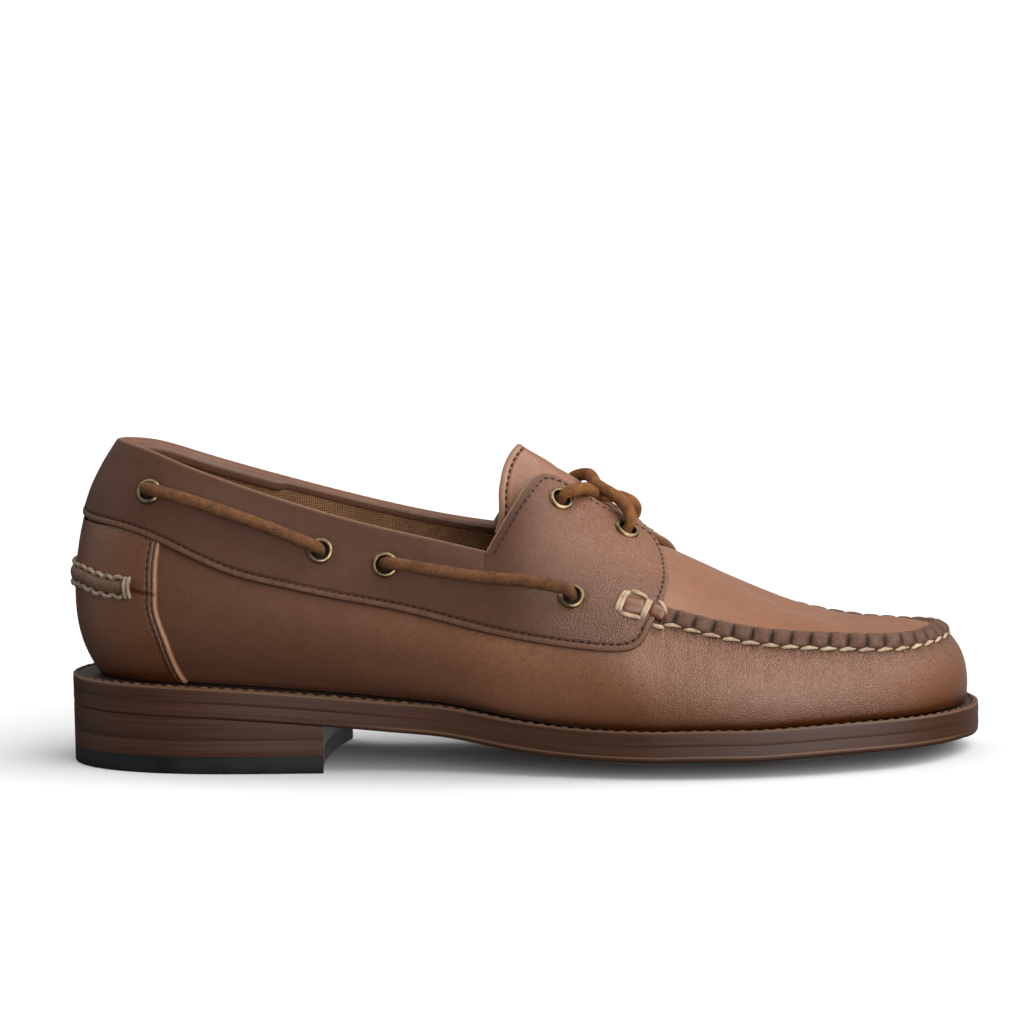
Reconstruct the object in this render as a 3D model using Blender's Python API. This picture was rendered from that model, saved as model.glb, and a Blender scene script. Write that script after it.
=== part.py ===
"""A laced moccasin-toe loafer, right foot, standing on its stacked heel and its forefoot.

The shoe is lofted on its last. Fifteen stations run from the back of the heel (0) to the toe tip
(14). Each station has one rib on the outer (lateral) side and one on the inner (medial) side.
A rib climbs from the foot of the wall (height 0) over the shoulder (height 1) to its top
(height 2): the collar rim behind, the wing's edge at the throat, the plug's ridge in front.
The wall runs below the shoulder all round. In front the plug fills the top, and a gathered roll
along the wall's edge joins the two. Behind, the quarters rise to the collar and the wings.
Tables are in millimetres: x from the back of the heel, y to the medial side, z from the floor.
"""

import math

import bpy
import numpy as np

# Driving dimensions, in millimetres.
MM = 0.001
ORIGIN_X = 148.0  # the frame's origin, from the back of the heel
ORIGIN_Y = 0.35
GAP = 0.3  # between pieces that meet
CURVED_GAP = 0.55  # nominal, between faceted curved pieces, about 0.3 at their edges
SOLE_THICKNESS = 10.2  # outsole and midsole together
OUTSOLE_THICKNESS = 5.0
TOP_LIFT_HEIGHT = 5.7
LIFT_HEIGHT = 5.2
WALL = 2.0  # leather and lining of the upper
BAND_THICKNESS = 1.7
COUNTER_THICKNESS = 1.2
INSOLE_THICKNESS = 2.0
TONGUE_THICKNESS = 2.4
PLUG_MITRE = 1.15  # wall and plug each stop this far from the shoulder line they share
ROLL_DEPTH = 4.4  # height of the gathered roll along the wall's edge
BREAST_HOLLOW = 3.0  # depth of the arc of the heel's front
EYELET_OUTER = 4.3  # radii
EYELET_HOLE = 3.0
EYELET_HEIGHT = 1.1
LACE_RADIUS = 2.1
SIDE_LACE_BOWS = (2.5, 3.0)  # how far the rear and front bars stand off the band
CROSSING_RISES = (6.5, 9.4)  # lower and upper strand, over the eyelets' middle

# Resolution of the faceted solids.
COLUMNS_PER_STATION = 3
WALL_ROWS = 4
CROWN_ROWS = 5
SOLE_ROWS_ACROSS = 6
HEEL_STEPS = 9
BREAST_STEPS = 6
EYELET_SIDES = 10
SIDE_LACE_STEPS = 14
CROSSING_STEPS = 17
TONGUE_SIDE_ROWS = 4
TONGUE_ARCH_ROWS = 7
TONGUE_END_STEPS = 3
FINE_STEPS = 400  # for lengths and edges that are measured, not built
LACE_BEVEL = 2  # rounding of a lace's section
SHARP_ANGLE = 40  # degrees

# Steps over which slopes are measured, in stations and rib heights.
PLAN_STEP = 0.01
FACE_STEP = 0.02
FRAME_STEP = 0.05

# Search round a guess for the place on the upper that lies nearest to a point.
NEAR_STATIONS = 2.0
NEAR_STATION_STEP = 0.05
NEAR_HEIGHTS = 0.5
NEAR_HEIGHT_STEP = 0.025
NEAR_LEAST_HEIGHT = 0.1

# Edge of the sole at each station: outer side x, y and inner side x, y.
OUTLINE = [
    # name, outer x, outer y, inner x, inner y
    ("heel_back", -2.8, 0.0, -2.8, 0.0),
    ("heel_curve", 7.6, -20.4, 7.6, 20.4),
    ("heel_side", 38.0, -32.0, 38.0, 32.0),
    ("breast", 80.0, -33.0, 82.0, 30.0),
    ("waist", 117.0, -34.5, 117.0, 26.5),
    ("collar_dip", 138.0, -38.5, 137.0, 28.8),
    ("wing_rear", 149.0, -41.2, 148.0, 31.8),
    ("wing_top", 160.0, -43.8, 159.0, 35.2),
    ("instep", 174.0, -46.8, 173.0, 39.8),
    ("throat", 186.0, -48.8, 186.0, 44.0),
    ("ball", 199.0, -49.8, 200.0, 47.6),
    ("vamp", 226.0, -48.0, 227.0, 50.5),
    ("toe_side", 257.5, -39.5, 260.0, 46.8),
    ("toe_corner", 285.8, -22.3, 287.3, 32.2),
    ("toe_tip", 298.8, 7.0, 298.8, 7.0),
]

# Underside of the sole along its length, and how far its edge curls up over that.
SOLE_PROFILE = [
    # x, underside z, edge lift
    (0.0, 19.4, 0.0),
    (40.0, 18.7, 0.0),
    (85.0, 15.5, 0.0),
    (110.0, 13.0, 0.3),
    (124.0, 11.2, 0.9),
    (140.0, 7.7, 1.8),
    (170.0, 2.2, 4.2),
    (195.0, 0.0, 5.9),
    (225.0, 0.0, 5.9),
    (255.0, 2.0, 4.6),
    (280.0, 4.3, 2.1),
    (299.0, 5.7, 0.3),
]
FLAT_SHARE = 0.35  # share of the half width that stays flat
EDGE_CURVE = 1.7
LEAST_HALF_WIDTH = 18.0  # keeps the curl gentle at the heel's back and the toe
BREAST_OUTER = 3.08  # stations of the breast's corners
BREAST_INNER = 3.14

# Ribs of the upper. Ledge is the width of welt left outside the wall. Leans are degrees from
# upright, positive towards the inside: at the foot, below and above the shoulder, and at the top.
OUTER_RIBS = [
    # ledge, foot lean, shoulder x, y, z, low lean, high lean, top x, y, z, top lean
    (11.0, -36, 0.4, 0.0, 60.0, 2, 4, 16.5, 0.0, 107.0, 36),
    (8.8, -34, 10.4, -21.2, 61.0, 3, 5, 26.5, -12.5, 105.3, 28),
    (6.5, -26, 43.0, -32.5, 65.0, 10, 10, 46.0, -21.0, 98.4, 22),
    (6.0, -22, 84.0, -35.5, 60.0, 14, 14, 86.0, -27.0, 85.8, 16),
    (6.0, -20, 118.0, -37.0, 56.0, 18, 18, 118.0, -29.5, 77.8, 20),
    (6.0, -20, 137.5, -38.5, 56.0, 24, 24, 138.2, -30.0, 72.8, 26),
    (6.0, -20, 148.0, -39.0, 57.0, 28, 28, 148.0, -21.5, 89.0, 34),
    (6.0, -20, 159.0, -39.5, 57.5, 32, 32, 157.0, -12.5, 95.4, 50),
    (6.0, -20, 174.0, -40.0, 57.5, 36, 38, 173.0, -9.5, 85.6, 60),
    (6.0, -20, 186.5, -39.5, 56.0, 38, 46, 186.5, -8.0, 77.2, 70),
    (6.0, -20, 198.5, -38.5, 53.5, 36, 56, 197.0, 1.0, 68.3, 85),
    (5.5, -20, 224.0, -38.0, 47.5, 30, 66, 217.0, 3.0, 57.1, 88),
    (5.5, -18, 252.5, -32.0, 44.2, 28, 74, 240.0, 5.0, 46.9, 88),
    (4.7, -14, 274.8, -19.5, 42.1, 38, 78, 257.0, 6.5, 44.3, 88),
    (4.0, -8, 285.4, 6.0, 41.4, 60, 80, 267.0, 7.0, 43.8, 88),
]
INNER_RIBS = [
    # ledge, foot lean, shoulder x, y, z, low lean, high lean, top x, y, z, top lean
    OUTER_RIBS[0],
    (8.8, -34, 10.4, 21.6, 61.0, 3, 5, 26.5, 13.5, 104.6, 28),
    (6.5, -26, 43.0, 32.0, 65.0, 10, 10, 46.0, 23.0, 97.0, 22),
    (6.0, -22, 86.0, 33.5, 60.0, 12, 12, 87.0, 28.0, 84.6, 16),
    (6.0, -34, 118.0, 34.0, 58.0, 12, 12, 118.0, 30.0, 76.9, 18),
    (6.0, -32, 137.5, 35.0, 58.0, 16, 16, 137.0, 30.0, 73.6, 24),
    (6.0, -28, 148.0, 36.0, 59.0, 20, 20, 147.5, 24.0, 89.0, 34),
    (6.0, -26, 159.0, 37.5, 60.0, 26, 26, 157.0, 15.0, 93.6, 50),
    (6.0, -22, 174.0, 39.5, 60.0, 32, 36, 173.0, 12.0, 83.6, 60),
    (6.0, -20, 187.0, 40.5, 57.5, 36, 46, 186.5, 10.0, 74.4, 70),
    (6.0, -18, 200.0, 41.0, 54.0, 34, 56, 197.0, 1.0, 68.3, 85),
    (5.5, -16, 226.0, 41.0, 45.9, 28, 66, 217.0, 3.0, 57.1, 88),
    (5.5, -14, 254.0, 35.5, 40.2, 26, 74, 240.0, 5.0, 46.9, 88),
    (4.7, -12, 276.5, 23.5, 39.9, 38, 78, 257.0, 6.5, 44.3, 88),
    OUTER_RIBS[-1],
]
TOE = len(OUTLINE) - 1  # station of the toe tip
AROUND = 2 * TOE  # stations round the whole shoe
DIP = 5  # station of the corner between collar and wing
PLUG_START = 10  # station from which the two sides share the plug's ridge
QUARTER_END = 9.67  # station of the front edge of the quarters, under the wings' lobes
PLUG_REAR = 9.9  # station of the plug's rear edge, just in front of it
HANDLE = 0.38  # length of a rib curve's handles, as a share of its chord
AIM_FROM = 5.0  # between these stations the ribs' tops turn to aim at the plug's ridge
AIM_TO = 8.0

# Lower and front edge of the collar band, as rib height at each station.
BAND_EDGE = [
    # station, rib height
    (0.0, 1.46),
    (1.1, 1.41),
    (1.9, 1.19),
    (2.7, 1.01),
    (3.7, 0.94),
    (4.6, 0.84),
    (5.6, 0.74),
    (7.0, 0.67),
    (8.2, 0.625),
    (8.8, 0.635),
    (9.3, 0.71),
    (9.55, 0.83),
    (9.77, 1.02),
    (9.92, 1.25),
]
BAND_REAR_END = 9.0
BAND_FRONT_STATIONS = (9.25, 9.45, 9.6, 9.72, 9.82, 9.92)
BAND_LOW_ROWS = 3
BAND_HIGH_ROWS = 5
BAND_LOW_SHARE = 0.375  # share of the band's height that the low rows take behind
BAND_SETTLES = (4.0, 8.0)  # between these stations one row moves onto the shoulder
BAND_TOP = [
    # station, rib height of the wing's front lobe
    (9.25, 2.0),
    (9.45, 1.91),
    (9.6, 1.83),
    (9.75, 1.71),
    (9.92, 1.42),
]

# Front edge of the heel counter, as station at each rib height.
COUNTER_ROWS = 6
COUNTER_COLUMNS = 13
COUNTER_TO_BAND = 0.035  # rib height left between the counter and the band
COUNTER_EDGE = [
    # rib height, station
    (0.04, 2.02),
    (0.45, 1.82),
    (0.86, 1.62),
    (1.30, 1.52),
]

# Tongue. It follows the inside of the upper under the wings and arches across the throat.
TONGUE_STATIONS = (10.6, 10.1, 9.6, 9.0, 8.4, 7.8, 7.2)
TONGUE_SIDE = 1.60  # rib height of its side edge
TONGUE_BEND = 1.92  # rib height where the arch across the throat begins
TONGUE_ARCHES = (0.36, 0.36, 0.36, 0.42, 0.60, 0.74, 0.66)  # fullness of the arch at each station
TONGUE_RISE = (-10.0, 0.0, 6.2)  # from the last station to the rear edge, at the middle
TONGUE_SWEEP = (-19.5, 1.8, -1.2)  # the same at the outer side edge
TONGUE_EDGE_CURVE = 1.5

# Section of the gathered roll: distance below the shoulder as a share, and thickness.
ROLL_SECTION = [
    # share of its depth, thickness over the gap
    (1.0, 0.7),
    (0.75, 1.5),
    (0.5, 1.8),
    (0.25, 1.6),
    (0.0, 0.7),
]

# Routes of a lace out of an eyelet: up through the hole, then over the ring.
SIDE_EXIT = [
    # run towards the other end, rise over the band
    (0.0, 1.3),
    (0.05, 2.4),
    (0.9, 4.3),
    (3.0, 5.3),
]
THROAT_EXIT = [
    # run towards the other end, rise over the band
    (0.0, 1.3),
    (0.05, 2.3),
    (0.8, 3.6),
    (3.2, 5.5),
]

# Turned section of an eyelet: radius past the hole, rise as a share of the height.
EYELET_SECTION = [
    # past the hole, rise
    (0.0, 0.0),
    (1.3, 0.0),
    (0.9, 1.0),
    (0.2, 0.8),
]

# Eyelets: name, station and rib height on the outer side, then on the inner side.
EYELETS = [
    ("side_1", 1.32, 1.715, 1.32, 1.715),
    ("side_2", 2.97, 1.515, 2.97, 1.515),
    ("side_3", 3.56, 1.50, 3.56, 1.50),
    ("side_4", 7.51, 1.02, 7.51, 1.02),
    ("wing_rear", 7.30, 1.80, 7.30, 1.80),
    ("wing_front", 8.69, 1.82, 8.69, 1.82),
]

# Colour, roughness and metallic value of each finish.
FINISHES = {
    "rubber": ((0.012, 0.011, 0.011), 0.60, 0.0),
    "sole_leather": ((0.090, 0.050, 0.034), 0.42, 0.0),
    "sock_leather": ((0.30, 0.19, 0.11), 0.60, 0.0),
    "wall_leather": ((0.22, 0.095, 0.045), 0.42, 0.0),
    "band_leather": ((0.16, 0.075, 0.045), 0.40, 0.0),
    "tongue_leather": ((0.30, 0.15, 0.085), 0.45, 0.0),
    "lace_suede": ((0.22, 0.095, 0.035), 0.85, 0.0),
    "brass": ((0.50, 0.38, 0.19), 0.35, 1.0),
}


def clear_scene():
    for thing in list(bpy.data.objects):
        bpy.data.objects.remove(thing, do_unlink=True)


# Curves through table rows.


def round_curve(rows):
    """Smooth closed curve through evenly spaced rows. Position 0 is the first row."""
    rows = np.asarray(rows, float)
    count = len(rows)
    matrix = 4 * np.eye(count)
    matrix += np.roll(np.eye(count), 1, axis=0) + np.roll(np.eye(count), -1, axis=0)
    slopes = np.linalg.solve(matrix, 3 * (np.roll(rows, -1, 0) - np.roll(rows, 1, 0)))

    def at(position):
        position = np.asarray(position, float) % count
        low = np.floor(position).astype(int) % count
        u = (position - np.floor(position))[:, None]
        high = (low + 1) % count
        value = (1 + 2 * u) * (1 - u) ** 2 * rows[low] + u * u * (3 - 2 * u) * rows[high]
        return value + u * (1 - u) ** 2 * slopes[low] + u * u * (u - 1) * slopes[high]

    return at


def open_curve(places, rows):
    """Smooth curve through rows at the given places, held at its ends."""
    places = np.asarray(places, float)
    rows = np.asarray(rows, float).reshape(len(places), -1)
    steps = np.diff(places)
    matrix = np.zeros((len(places), len(places)))
    right = np.zeros(rows.shape)
    matrix[0, :2] = 2, 1
    matrix[-1, -2:] = 1, 2
    right[0] = 3 * (rows[1] - rows[0]) / steps[0]
    right[-1] = 3 * (rows[-1] - rows[-2]) / steps[-1]
    for k in range(1, len(places) - 1):
        before, after = steps[k - 1], steps[k]
        matrix[k, k - 1 : k + 2] = 1 / before, 2 / before + 2 / after, 1 / after
        right[k] = 3 * (rows[k] - rows[k - 1]) / before**2
        right[k] += 3 * (rows[k + 1] - rows[k]) / after**2
    slopes = np.linalg.solve(matrix, right)

    def at(place):
        place = np.clip(np.asarray(place, float), places[0], places[-1])
        low = np.clip(np.searchsorted(places, place, side="right") - 1, 0, len(steps) - 1)
        step = steps[low][:, None]
        u = (place - places[low])[:, None] / step
        value = (1 + 2 * u) * (1 - u) ** 2 * rows[low] + u * u * (3 - 2 * u) * rows[low + 1]
        value += step * u * (1 - u) ** 2 * slopes[low]
        return value + step * u * u * (u - 1) * slopes[low + 1]

    return at


def both_sides(outer, inner):
    """Rows round the shoe: heel to toe on the outer side, then back on the inner side."""
    return list(outer) + list(inner)[-2:0:-1]


outline_at = round_curve(
    both_sides([row[1:3] for row in OUTLINE], [row[3:5] for row in OUTLINE])
)
rib_at = round_curve(both_sides([r[:7] for r in OUTER_RIBS], [r[:7] for r in INNER_RIBS]))
collar_at = open_curve(
    range(-DIP, DIP + 1),
    [INNER_RIBS[k][7:] for k in range(DIP, 0, -1)]
    + [OUTER_RIBS[k][7:] for k in range(DIP + 1)],
)
outer_wing_at = open_curve(
    range(DIP, PLUG_START + 1), [OUTER_RIBS[k][7:] for k in range(DIP, PLUG_START + 1)]
)
inner_wing_at = open_curve(
    range(DIP, PLUG_START + 1), [INNER_RIBS[k][7:] for k in range(DIP, PLUG_START + 1)]
)
ridge_at = open_curve(
    range(PLUG_START, TOE + 1), [OUTER_RIBS[k][7:] for k in range(PLUG_START, TOE + 1)]
)
profile_at = open_curve([r[0] for r in SOLE_PROFILE], [r[1:] for r in SOLE_PROFILE])


def signed_station(station):
    """Station from the heel, positive on the outer side and negative on the inner side."""
    station = np.asarray(station, float) % AROUND
    return np.where(station > TOE, station - AROUND, station)


def top_at(station):
    """x, y, z and lean of the rib tops: collar, wing edge or plug ridge."""
    side = signed_station(station)
    from_heel = np.abs(side)
    wing = np.where((side > 0)[:, None], outer_wing_at(from_heel), inner_wing_at(from_heel))
    rear = np.where((from_heel <= DIP)[:, None], collar_at(side), wing)
    return np.where((from_heel < PLUG_START)[:, None], rear, ridge_at(from_heel))


def outward_at(station):
    """Level unit vector that points out of the sole's edge."""
    along = outline_at(station + PLAN_STEP) - outline_at(station - PLAN_STEP)
    along /= np.linalg.norm(along, axis=1)[:, None]
    return np.stack([along[:, 1], -along[:, 0]], axis=1)


# The sole's edge on each side as y over x, for sections straight across the shoe.
SAMPLES = np.linspace(0, TOE, FINE_STEPS)
OUTER_EDGE = outline_at(SAMPLES)
INNER_EDGE = outline_at(AROUND - SAMPLES)


def underside(x, y):
    """Height of the sole's underside at a place on the plan."""
    outer = np.interp(x, OUTER_EDGE[:, 0], OUTER_EDGE[:, 1])
    inner = np.interp(x, INNER_EDGE[:, 0], INNER_EDGE[:, 1])
    half = np.maximum((inner - outer) / 2, LEAST_HALF_WIDTH)
    share = np.abs(y - (outer + inner) / 2) / half
    low, lift = profile_at(np.ravel(x)).T
    curl = np.clip((share - FLAT_SHARE) / (1 - FLAT_SHARE), 0, None) ** EDGE_CURVE
    low = np.maximum(low, 0.0)
    return low.reshape(np.shape(x)) + lift.reshape(np.shape(x)) * curl


# The upper's outside.


def bezier(start, first, second, end, u):
    u = u[:, None]
    value = (1 - u) ** 3 * start + 3 * u * (1 - u) ** 2 * first
    return value + 3 * u * u * (1 - u) * second + u**3 * end


def leaning(degrees, inward):
    """Unit vector that rises while leaning by the angle towards the inward direction."""
    angle = np.radians(degrees)
    return np.column_stack([inward * np.sin(angle)[:, None], np.cos(angle)])


def outside(station, height):
    """Points on the outside of the upper."""
    station, height = np.broadcast_arrays(
        np.asarray(station, float), np.asarray(height, float)
    )
    shape = station.shape
    station = station.ravel() % AROUND
    height = height.ravel()
    rib = rib_at(station)
    top_row = top_at(station)
    inward = -outward_at(station)
    foot = outline_at(station) + inward * rib[:, :1]
    ground = underside(foot[:, 0], foot[:, 1]) + SOLE_THICKNESS + GAP
    foot = np.column_stack([foot, ground])
    shoulder = rib[:, 2:5]
    top = top_row[:, :3]
    across = top[:, :2] - shoulder[:, :2]
    across /= np.linalg.norm(across, axis=1)[:, None]
    # Behind the wings a rib's top leans straight in. In front it aims at the plug's ridge.
    from_heel = np.abs(signed_station(station))
    share = np.clip((from_heel - AIM_FROM) / (AIM_TO - AIM_FROM), 0, 1)[:, None]
    share = share * share * (3 - 2 * share)
    top_inward = inward * (1 - share) + across * share
    top_inward /= np.linalg.norm(top_inward, axis=1)[:, None]
    low = HANDLE * np.linalg.norm(shoulder - foot, axis=1)[:, None]
    high = HANDLE * np.linalg.norm(top - shoulder, axis=1)[:, None]
    wall = bezier(
        foot,
        foot + low * leaning(rib[:, 1], inward),
        shoulder - low * leaning(rib[:, 5], inward),
        shoulder,
        np.clip(height, 0, 1),
    )
    crown = bezier(
        shoulder,
        shoulder + high * leaning(rib[:, 6], top_inward),
        top - high * leaning(top_row[:, 3], top_inward),
        top,
        np.clip(height - 1, 0, 1),
    )
    points = np.where((height <= 1)[:, None], wall, crown)
    return points.reshape(shape + (3,))


def outward_normal(station, height):
    """Unit normals of the upper's outside."""
    lower = np.clip(np.asarray(height) - FACE_STEP, 0, 2)
    upper = np.clip(np.asarray(height) + FACE_STEP, 0, 2)
    along = outside(station + FACE_STEP, height) - outside(station - FACE_STEP, height)
    up = outside(station, upper) - outside(station, lower)
    normal = np.cross(along, up)
    return normal / np.linalg.norm(normal, axis=-1)[..., None]


def near_shoulder(station, distance):
    """Rib height at a distance in millimetres above the shoulder, or below it if negative."""
    station = np.asarray(station, float)
    foot, shoulder, top = [outside(station, np.full(station.shape, h)) for h in (0, 1, 2)]
    low = 3 * HANDLE * np.linalg.norm(shoulder - foot, axis=-1)
    high = 3 * HANDLE * np.linalg.norm(top - shoulder, axis=-1)
    return 1 + distance / np.where(distance < 0, low, high)


def lifted(station, height, lift):
    """Points at a distance outside the upper, or inside it where the lift is negative."""
    station, height = np.broadcast_arrays(
        np.asarray(station, float), np.asarray(height, float)
    )
    return outside(station, height) + lift * outward_normal(station, height)


# Meshes.


def make_mesh(name, points, faces, finish):
    """Object from points in millimetres from the heel, in the part's own frame."""
    points = (np.asarray(points, float) - [ORIGIN_X, ORIGIN_Y, 0.0]) * MM
    mesh = bpy.data.meshes.new(name)
    mesh.from_pydata([tuple(p) for p in points], [], [list(map(int, f)) for f in faces])
    mesh.shade_smooth()
    mesh.set_sharp_from_angle(angle=math.radians(SHARP_ANGLE))
    thing = bpy.data.objects.new(name, mesh)
    bpy.context.scene.collection.objects.link(thing)
    thing.data.materials.append(finish_material(finish))
    return thing


def finish_material(finish):
    if finish in bpy.data.materials:
        return bpy.data.materials[finish]
    colour, roughness, metallic = FINISHES[finish]
    material = bpy.data.materials.new(finish)
    material.use_nodes = True
    shader = material.node_tree.nodes["Principled BSDF"]
    shader.inputs["Base Color"].default_value = (*colour, 1)
    shader.inputs["Roughness"].default_value = roughness
    shader.inputs["Metallic"].default_value = metallic
    return material


def grid_faces(rows, columns):
    """Quads of a grid of points, row after row."""
    faces = []
    for i in range(rows - 1):
        for j in range(columns - 1):
            corner = i * columns + j
            faces.append((corner, corner + columns, corner + columns + 1, corner + 1))
    return faces


def slab_faces(rows, columns):
    """Closed solid between two equal grids, the first one outside and the second inside."""
    count = rows * columns
    front = grid_faces(rows, columns)
    faces = front + [tuple(count + k for k in face[::-1]) for face in front]
    last = (rows - 1) * columns
    border = [j for j in range(columns)]
    border += [i * columns + columns - 1 for i in range(1, rows)]
    border += [last + j for j in range(columns - 2, -1, -1)]
    border += [i * columns for i in range(rows - 2, 0, -1)]
    for here, there in zip(border, border[1:] + border[:1]):
        faces.append((here, there, count + there, count + here))
    return faces


def make_slab(name, front, back, finish):
    """Solid between a front grid of points and a back grid."""
    rows, columns = front.shape[:2]
    points = np.concatenate([front.reshape(-1, 3), back.reshape(-1, 3)])
    return make_mesh(name, points, slab_faces(rows, columns), finish)


def make_layer(name, inset_at, low_at, high_at, finish):
    """A layer as wide as the sole less an inset, between two heights over the plan."""
    stations = np.linspace(0, TOE, TOE * COLUMNS_PER_STATION + 1)
    outer = outline_at(stations) - outward_at(stations) * inset_at(stations)
    across = AROUND - stations
    inner = outline_at(across) - outward_at(across) * inset_at(across)
    share = np.linspace(0, 1, SOLE_ROWS_ACROSS + 1)[None, :, None]
    plan = outer[:, None] * (1 - share) + inner[:, None] * share
    points, index = [], {}
    for layer, height_at in enumerate((high_at, low_at)):
        heights = height_at(plan[..., 0], plan[..., 1])
        for i in range(plan.shape[0]):
            for j in range(plan.shape[1]):
                at_end = i in (0, plan.shape[0] - 1)
                if at_end and j > 0:
                    index[layer, i, j] = index[layer, i, 0]
                    continue
                index[layer, i, j] = len(points)
                points.append((*plan[i, j], heights[i, j]))
    faces = []
    last = plan.shape[1] - 1
    for i in range(plan.shape[0] - 1):
        for j in range(last):
            corners = [(i, j), (i + 1, j), (i + 1, j + 1), (i, j + 1)]
            faces.append(unique([index[0, a, b] for a, b in corners]))
            faces.append(unique([index[1, a, b] for a, b in corners[::-1]]))
        for j, (start, end) in ((0, (i + 1, i)), (last, (i, i + 1))):
            side = [index[0, start, j], index[0, end, j], index[1, end, j], index[1, start, j]]
            faces.append(unique(side))
    return make_mesh(name, points, faces, finish)


def flush(stations):
    """No inset: the layer reaches the sole's edge."""
    return np.zeros((len(stations), 1))


def within_wall(stations):
    """Inset that clears the welt's ledge and the foot of the wall."""
    return rib_at(stations)[:, :1] + WALL + 2 * GAP


def unique(face):
    return tuple(dict.fromkeys(face))


# Sole.


def make_midsole():
    make_layer(
        "midsole",
        flush,
        lambda x, y: underside(x, y) + OUTSOLE_THICKNESS + GAP,
        lambda x, y: underside(x, y) + SOLE_THICKNESS,
        "sole_leather",
    )


def make_outsole():
    make_layer(
        "outsole",
        flush,
        underside,
        lambda x, y: underside(x, y) + OUTSOLE_THICKNESS,
        "sole_leather",
    )


def make_insole():
    bed = SOLE_THICKNESS + 2 * GAP
    make_layer(
        "insole",
        within_wall,
        lambda x, y: underside(x, y) + bed,
        lambda x, y: underside(x, y) + bed + INSOLE_THICKNESS,
        "sock_leather",
    )


# Heel. Its front, the breast, is a shallow arc between two corners.


def heel_plan():
    """Outline of the heel, from the outer corner round the back to the inner corner."""
    stations = np.concatenate(
        [
            np.linspace(BREAST_OUTER, 0, HEEL_STEPS, endpoint=False),
            AROUND - np.linspace(0, BREAST_INNER, HEEL_STEPS + 1),
        ]
    )
    edge = outline_at(stations)
    share = np.linspace(0, 1, BREAST_STEPS, endpoint=False)[1:, None]
    breast = edge[-1] * (1 - share) + edge[0] * share
    breast[:, 0] -= BREAST_HOLLOW * 4 * share[:, 0] * (1 - share[:, 0])
    return np.concatenate([edge, breast])


def make_heel_layer(name, low, high_at, finish):
    plan = heel_plan()
    count = len(plan)
    floor = [(x, y, low) for x, y in plan]
    heights = high_at(plan[:, 0], plan[:, 1])
    roof = [(x, y, z) for (x, y), z in zip(plan, heights)]
    faces = [tuple(range(count)), tuple(range(2 * count - 1, count - 1, -1))]
    for k in range(count):
        after = (k + 1) % count
        faces.append((k, count + k, count + after, after))
    make_mesh(name, floor + roof, faces, finish)


def make_heel():
    lower_top = TOP_LIFT_HEIGHT + GAP + LIFT_HEIGHT

    def level(height):
        return lambda x, y: np.full(np.shape(x), height)

    def seat(x, y):
        return underside(x, y) - GAP

    make_heel_layer("top_lift", 0.0, level(TOP_LIFT_HEIGHT), "rubber")
    make_heel_layer("heel_lift_lower", TOP_LIFT_HEIGHT + GAP, level(lower_top), "sole_leather")
    make_heel_layer("heel_lift_upper", lower_top + GAP, seat, "sole_leather")


# Upper.


def make_upper():
    """The wall and quarters as one sheet on the last, thickened inwards."""
    columns = AROUND * COLUMNS_PER_STATION
    stations = np.arange(columns) / COLUMNS_PER_STATION
    side = np.abs(signed_station(stations))
    last_quarter = int(QUARTER_END * COLUMNS_PER_STATION)
    wall_top = near_shoulder(stations, -PLUG_MITRE * (side > QUARTER_END))
    wall = wall_top[:, None] * np.linspace(0, 1, WALL_ROWS + 1)[None, :]
    quarter = np.linspace(1, 2, CROWN_ROWS + 1)[1:]
    heights = np.hstack([wall, np.tile(quarter, (columns, 1))])
    rows = heights.shape[1]
    grid = outside(stations[:, None], heights)
    has_quarter = side * COLUMNS_PER_STATION <= last_quarter
    faces = []
    for i in range(columns):
        after = (i + 1) % columns
        both = has_quarter[i] and has_quarter[after]
        for j in range(rows - 1 if both else WALL_ROWS):
            corners = [(i, j), (after, j), (after, j + 1), (i, j + 1)]
            faces.append([a * rows + b for a, b in corners])
    thicken(make_sheet("upper", grid.reshape(-1, 3), faces, "wall_leather"), WALL, -1)


def make_plug():
    """The plug over the toes: two sides that share their ridge, thickened inwards."""
    first = PLUG_START * COLUMNS_PER_STATION
    half = np.arange(first, TOE * COLUMNS_PER_STATION + 1) / COLUMNS_PER_STATION
    half = np.concatenate([[PLUG_REAR], half])
    stations = np.concatenate([half, AROUND - half[-2::-1]])
    start = near_shoulder(stations, PLUG_MITRE)[:, None]
    share = np.linspace(0, 1, CROWN_ROWS + 1)[None, :]
    grid = outside(stations[:, None], start * (1 - share) + 2 * share)
    columns, rows = grid.shape[:2]
    grid[0, -1] = grid[-1, -1] = (grid[0, -1] + grid[-1, -1]) / 2
    faces = []
    for i in range(columns - 1):
        for j in range(rows - 1):
            corners = [(i, j), (i + 1, j), (i + 1, j + 1), (i, j + 1)]
            # The ridge of the inner side is the ridge of the outer side.
            keys = [
                (columns - 1 - a if b == rows - 1 and a > columns // 2 else a, b)
                for a, b in corners
            ]
            faces.append(unique([a * rows + b for a, b in keys]))
    thicken(make_sheet("plug", grid.reshape(-1, 3), faces, "tongue_leather"), WALL, -1)


def make_sheet(name, points, faces, finish):
    """A sheet without the points that none of its faces uses."""
    used = sorted({corner for face in faces for corner in face})
    place = {corner: k for k, corner in enumerate(used)}
    faces = [[place[corner] for corner in face] for face in faces]
    return make_mesh(name, points[used], faces, finish)


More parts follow.
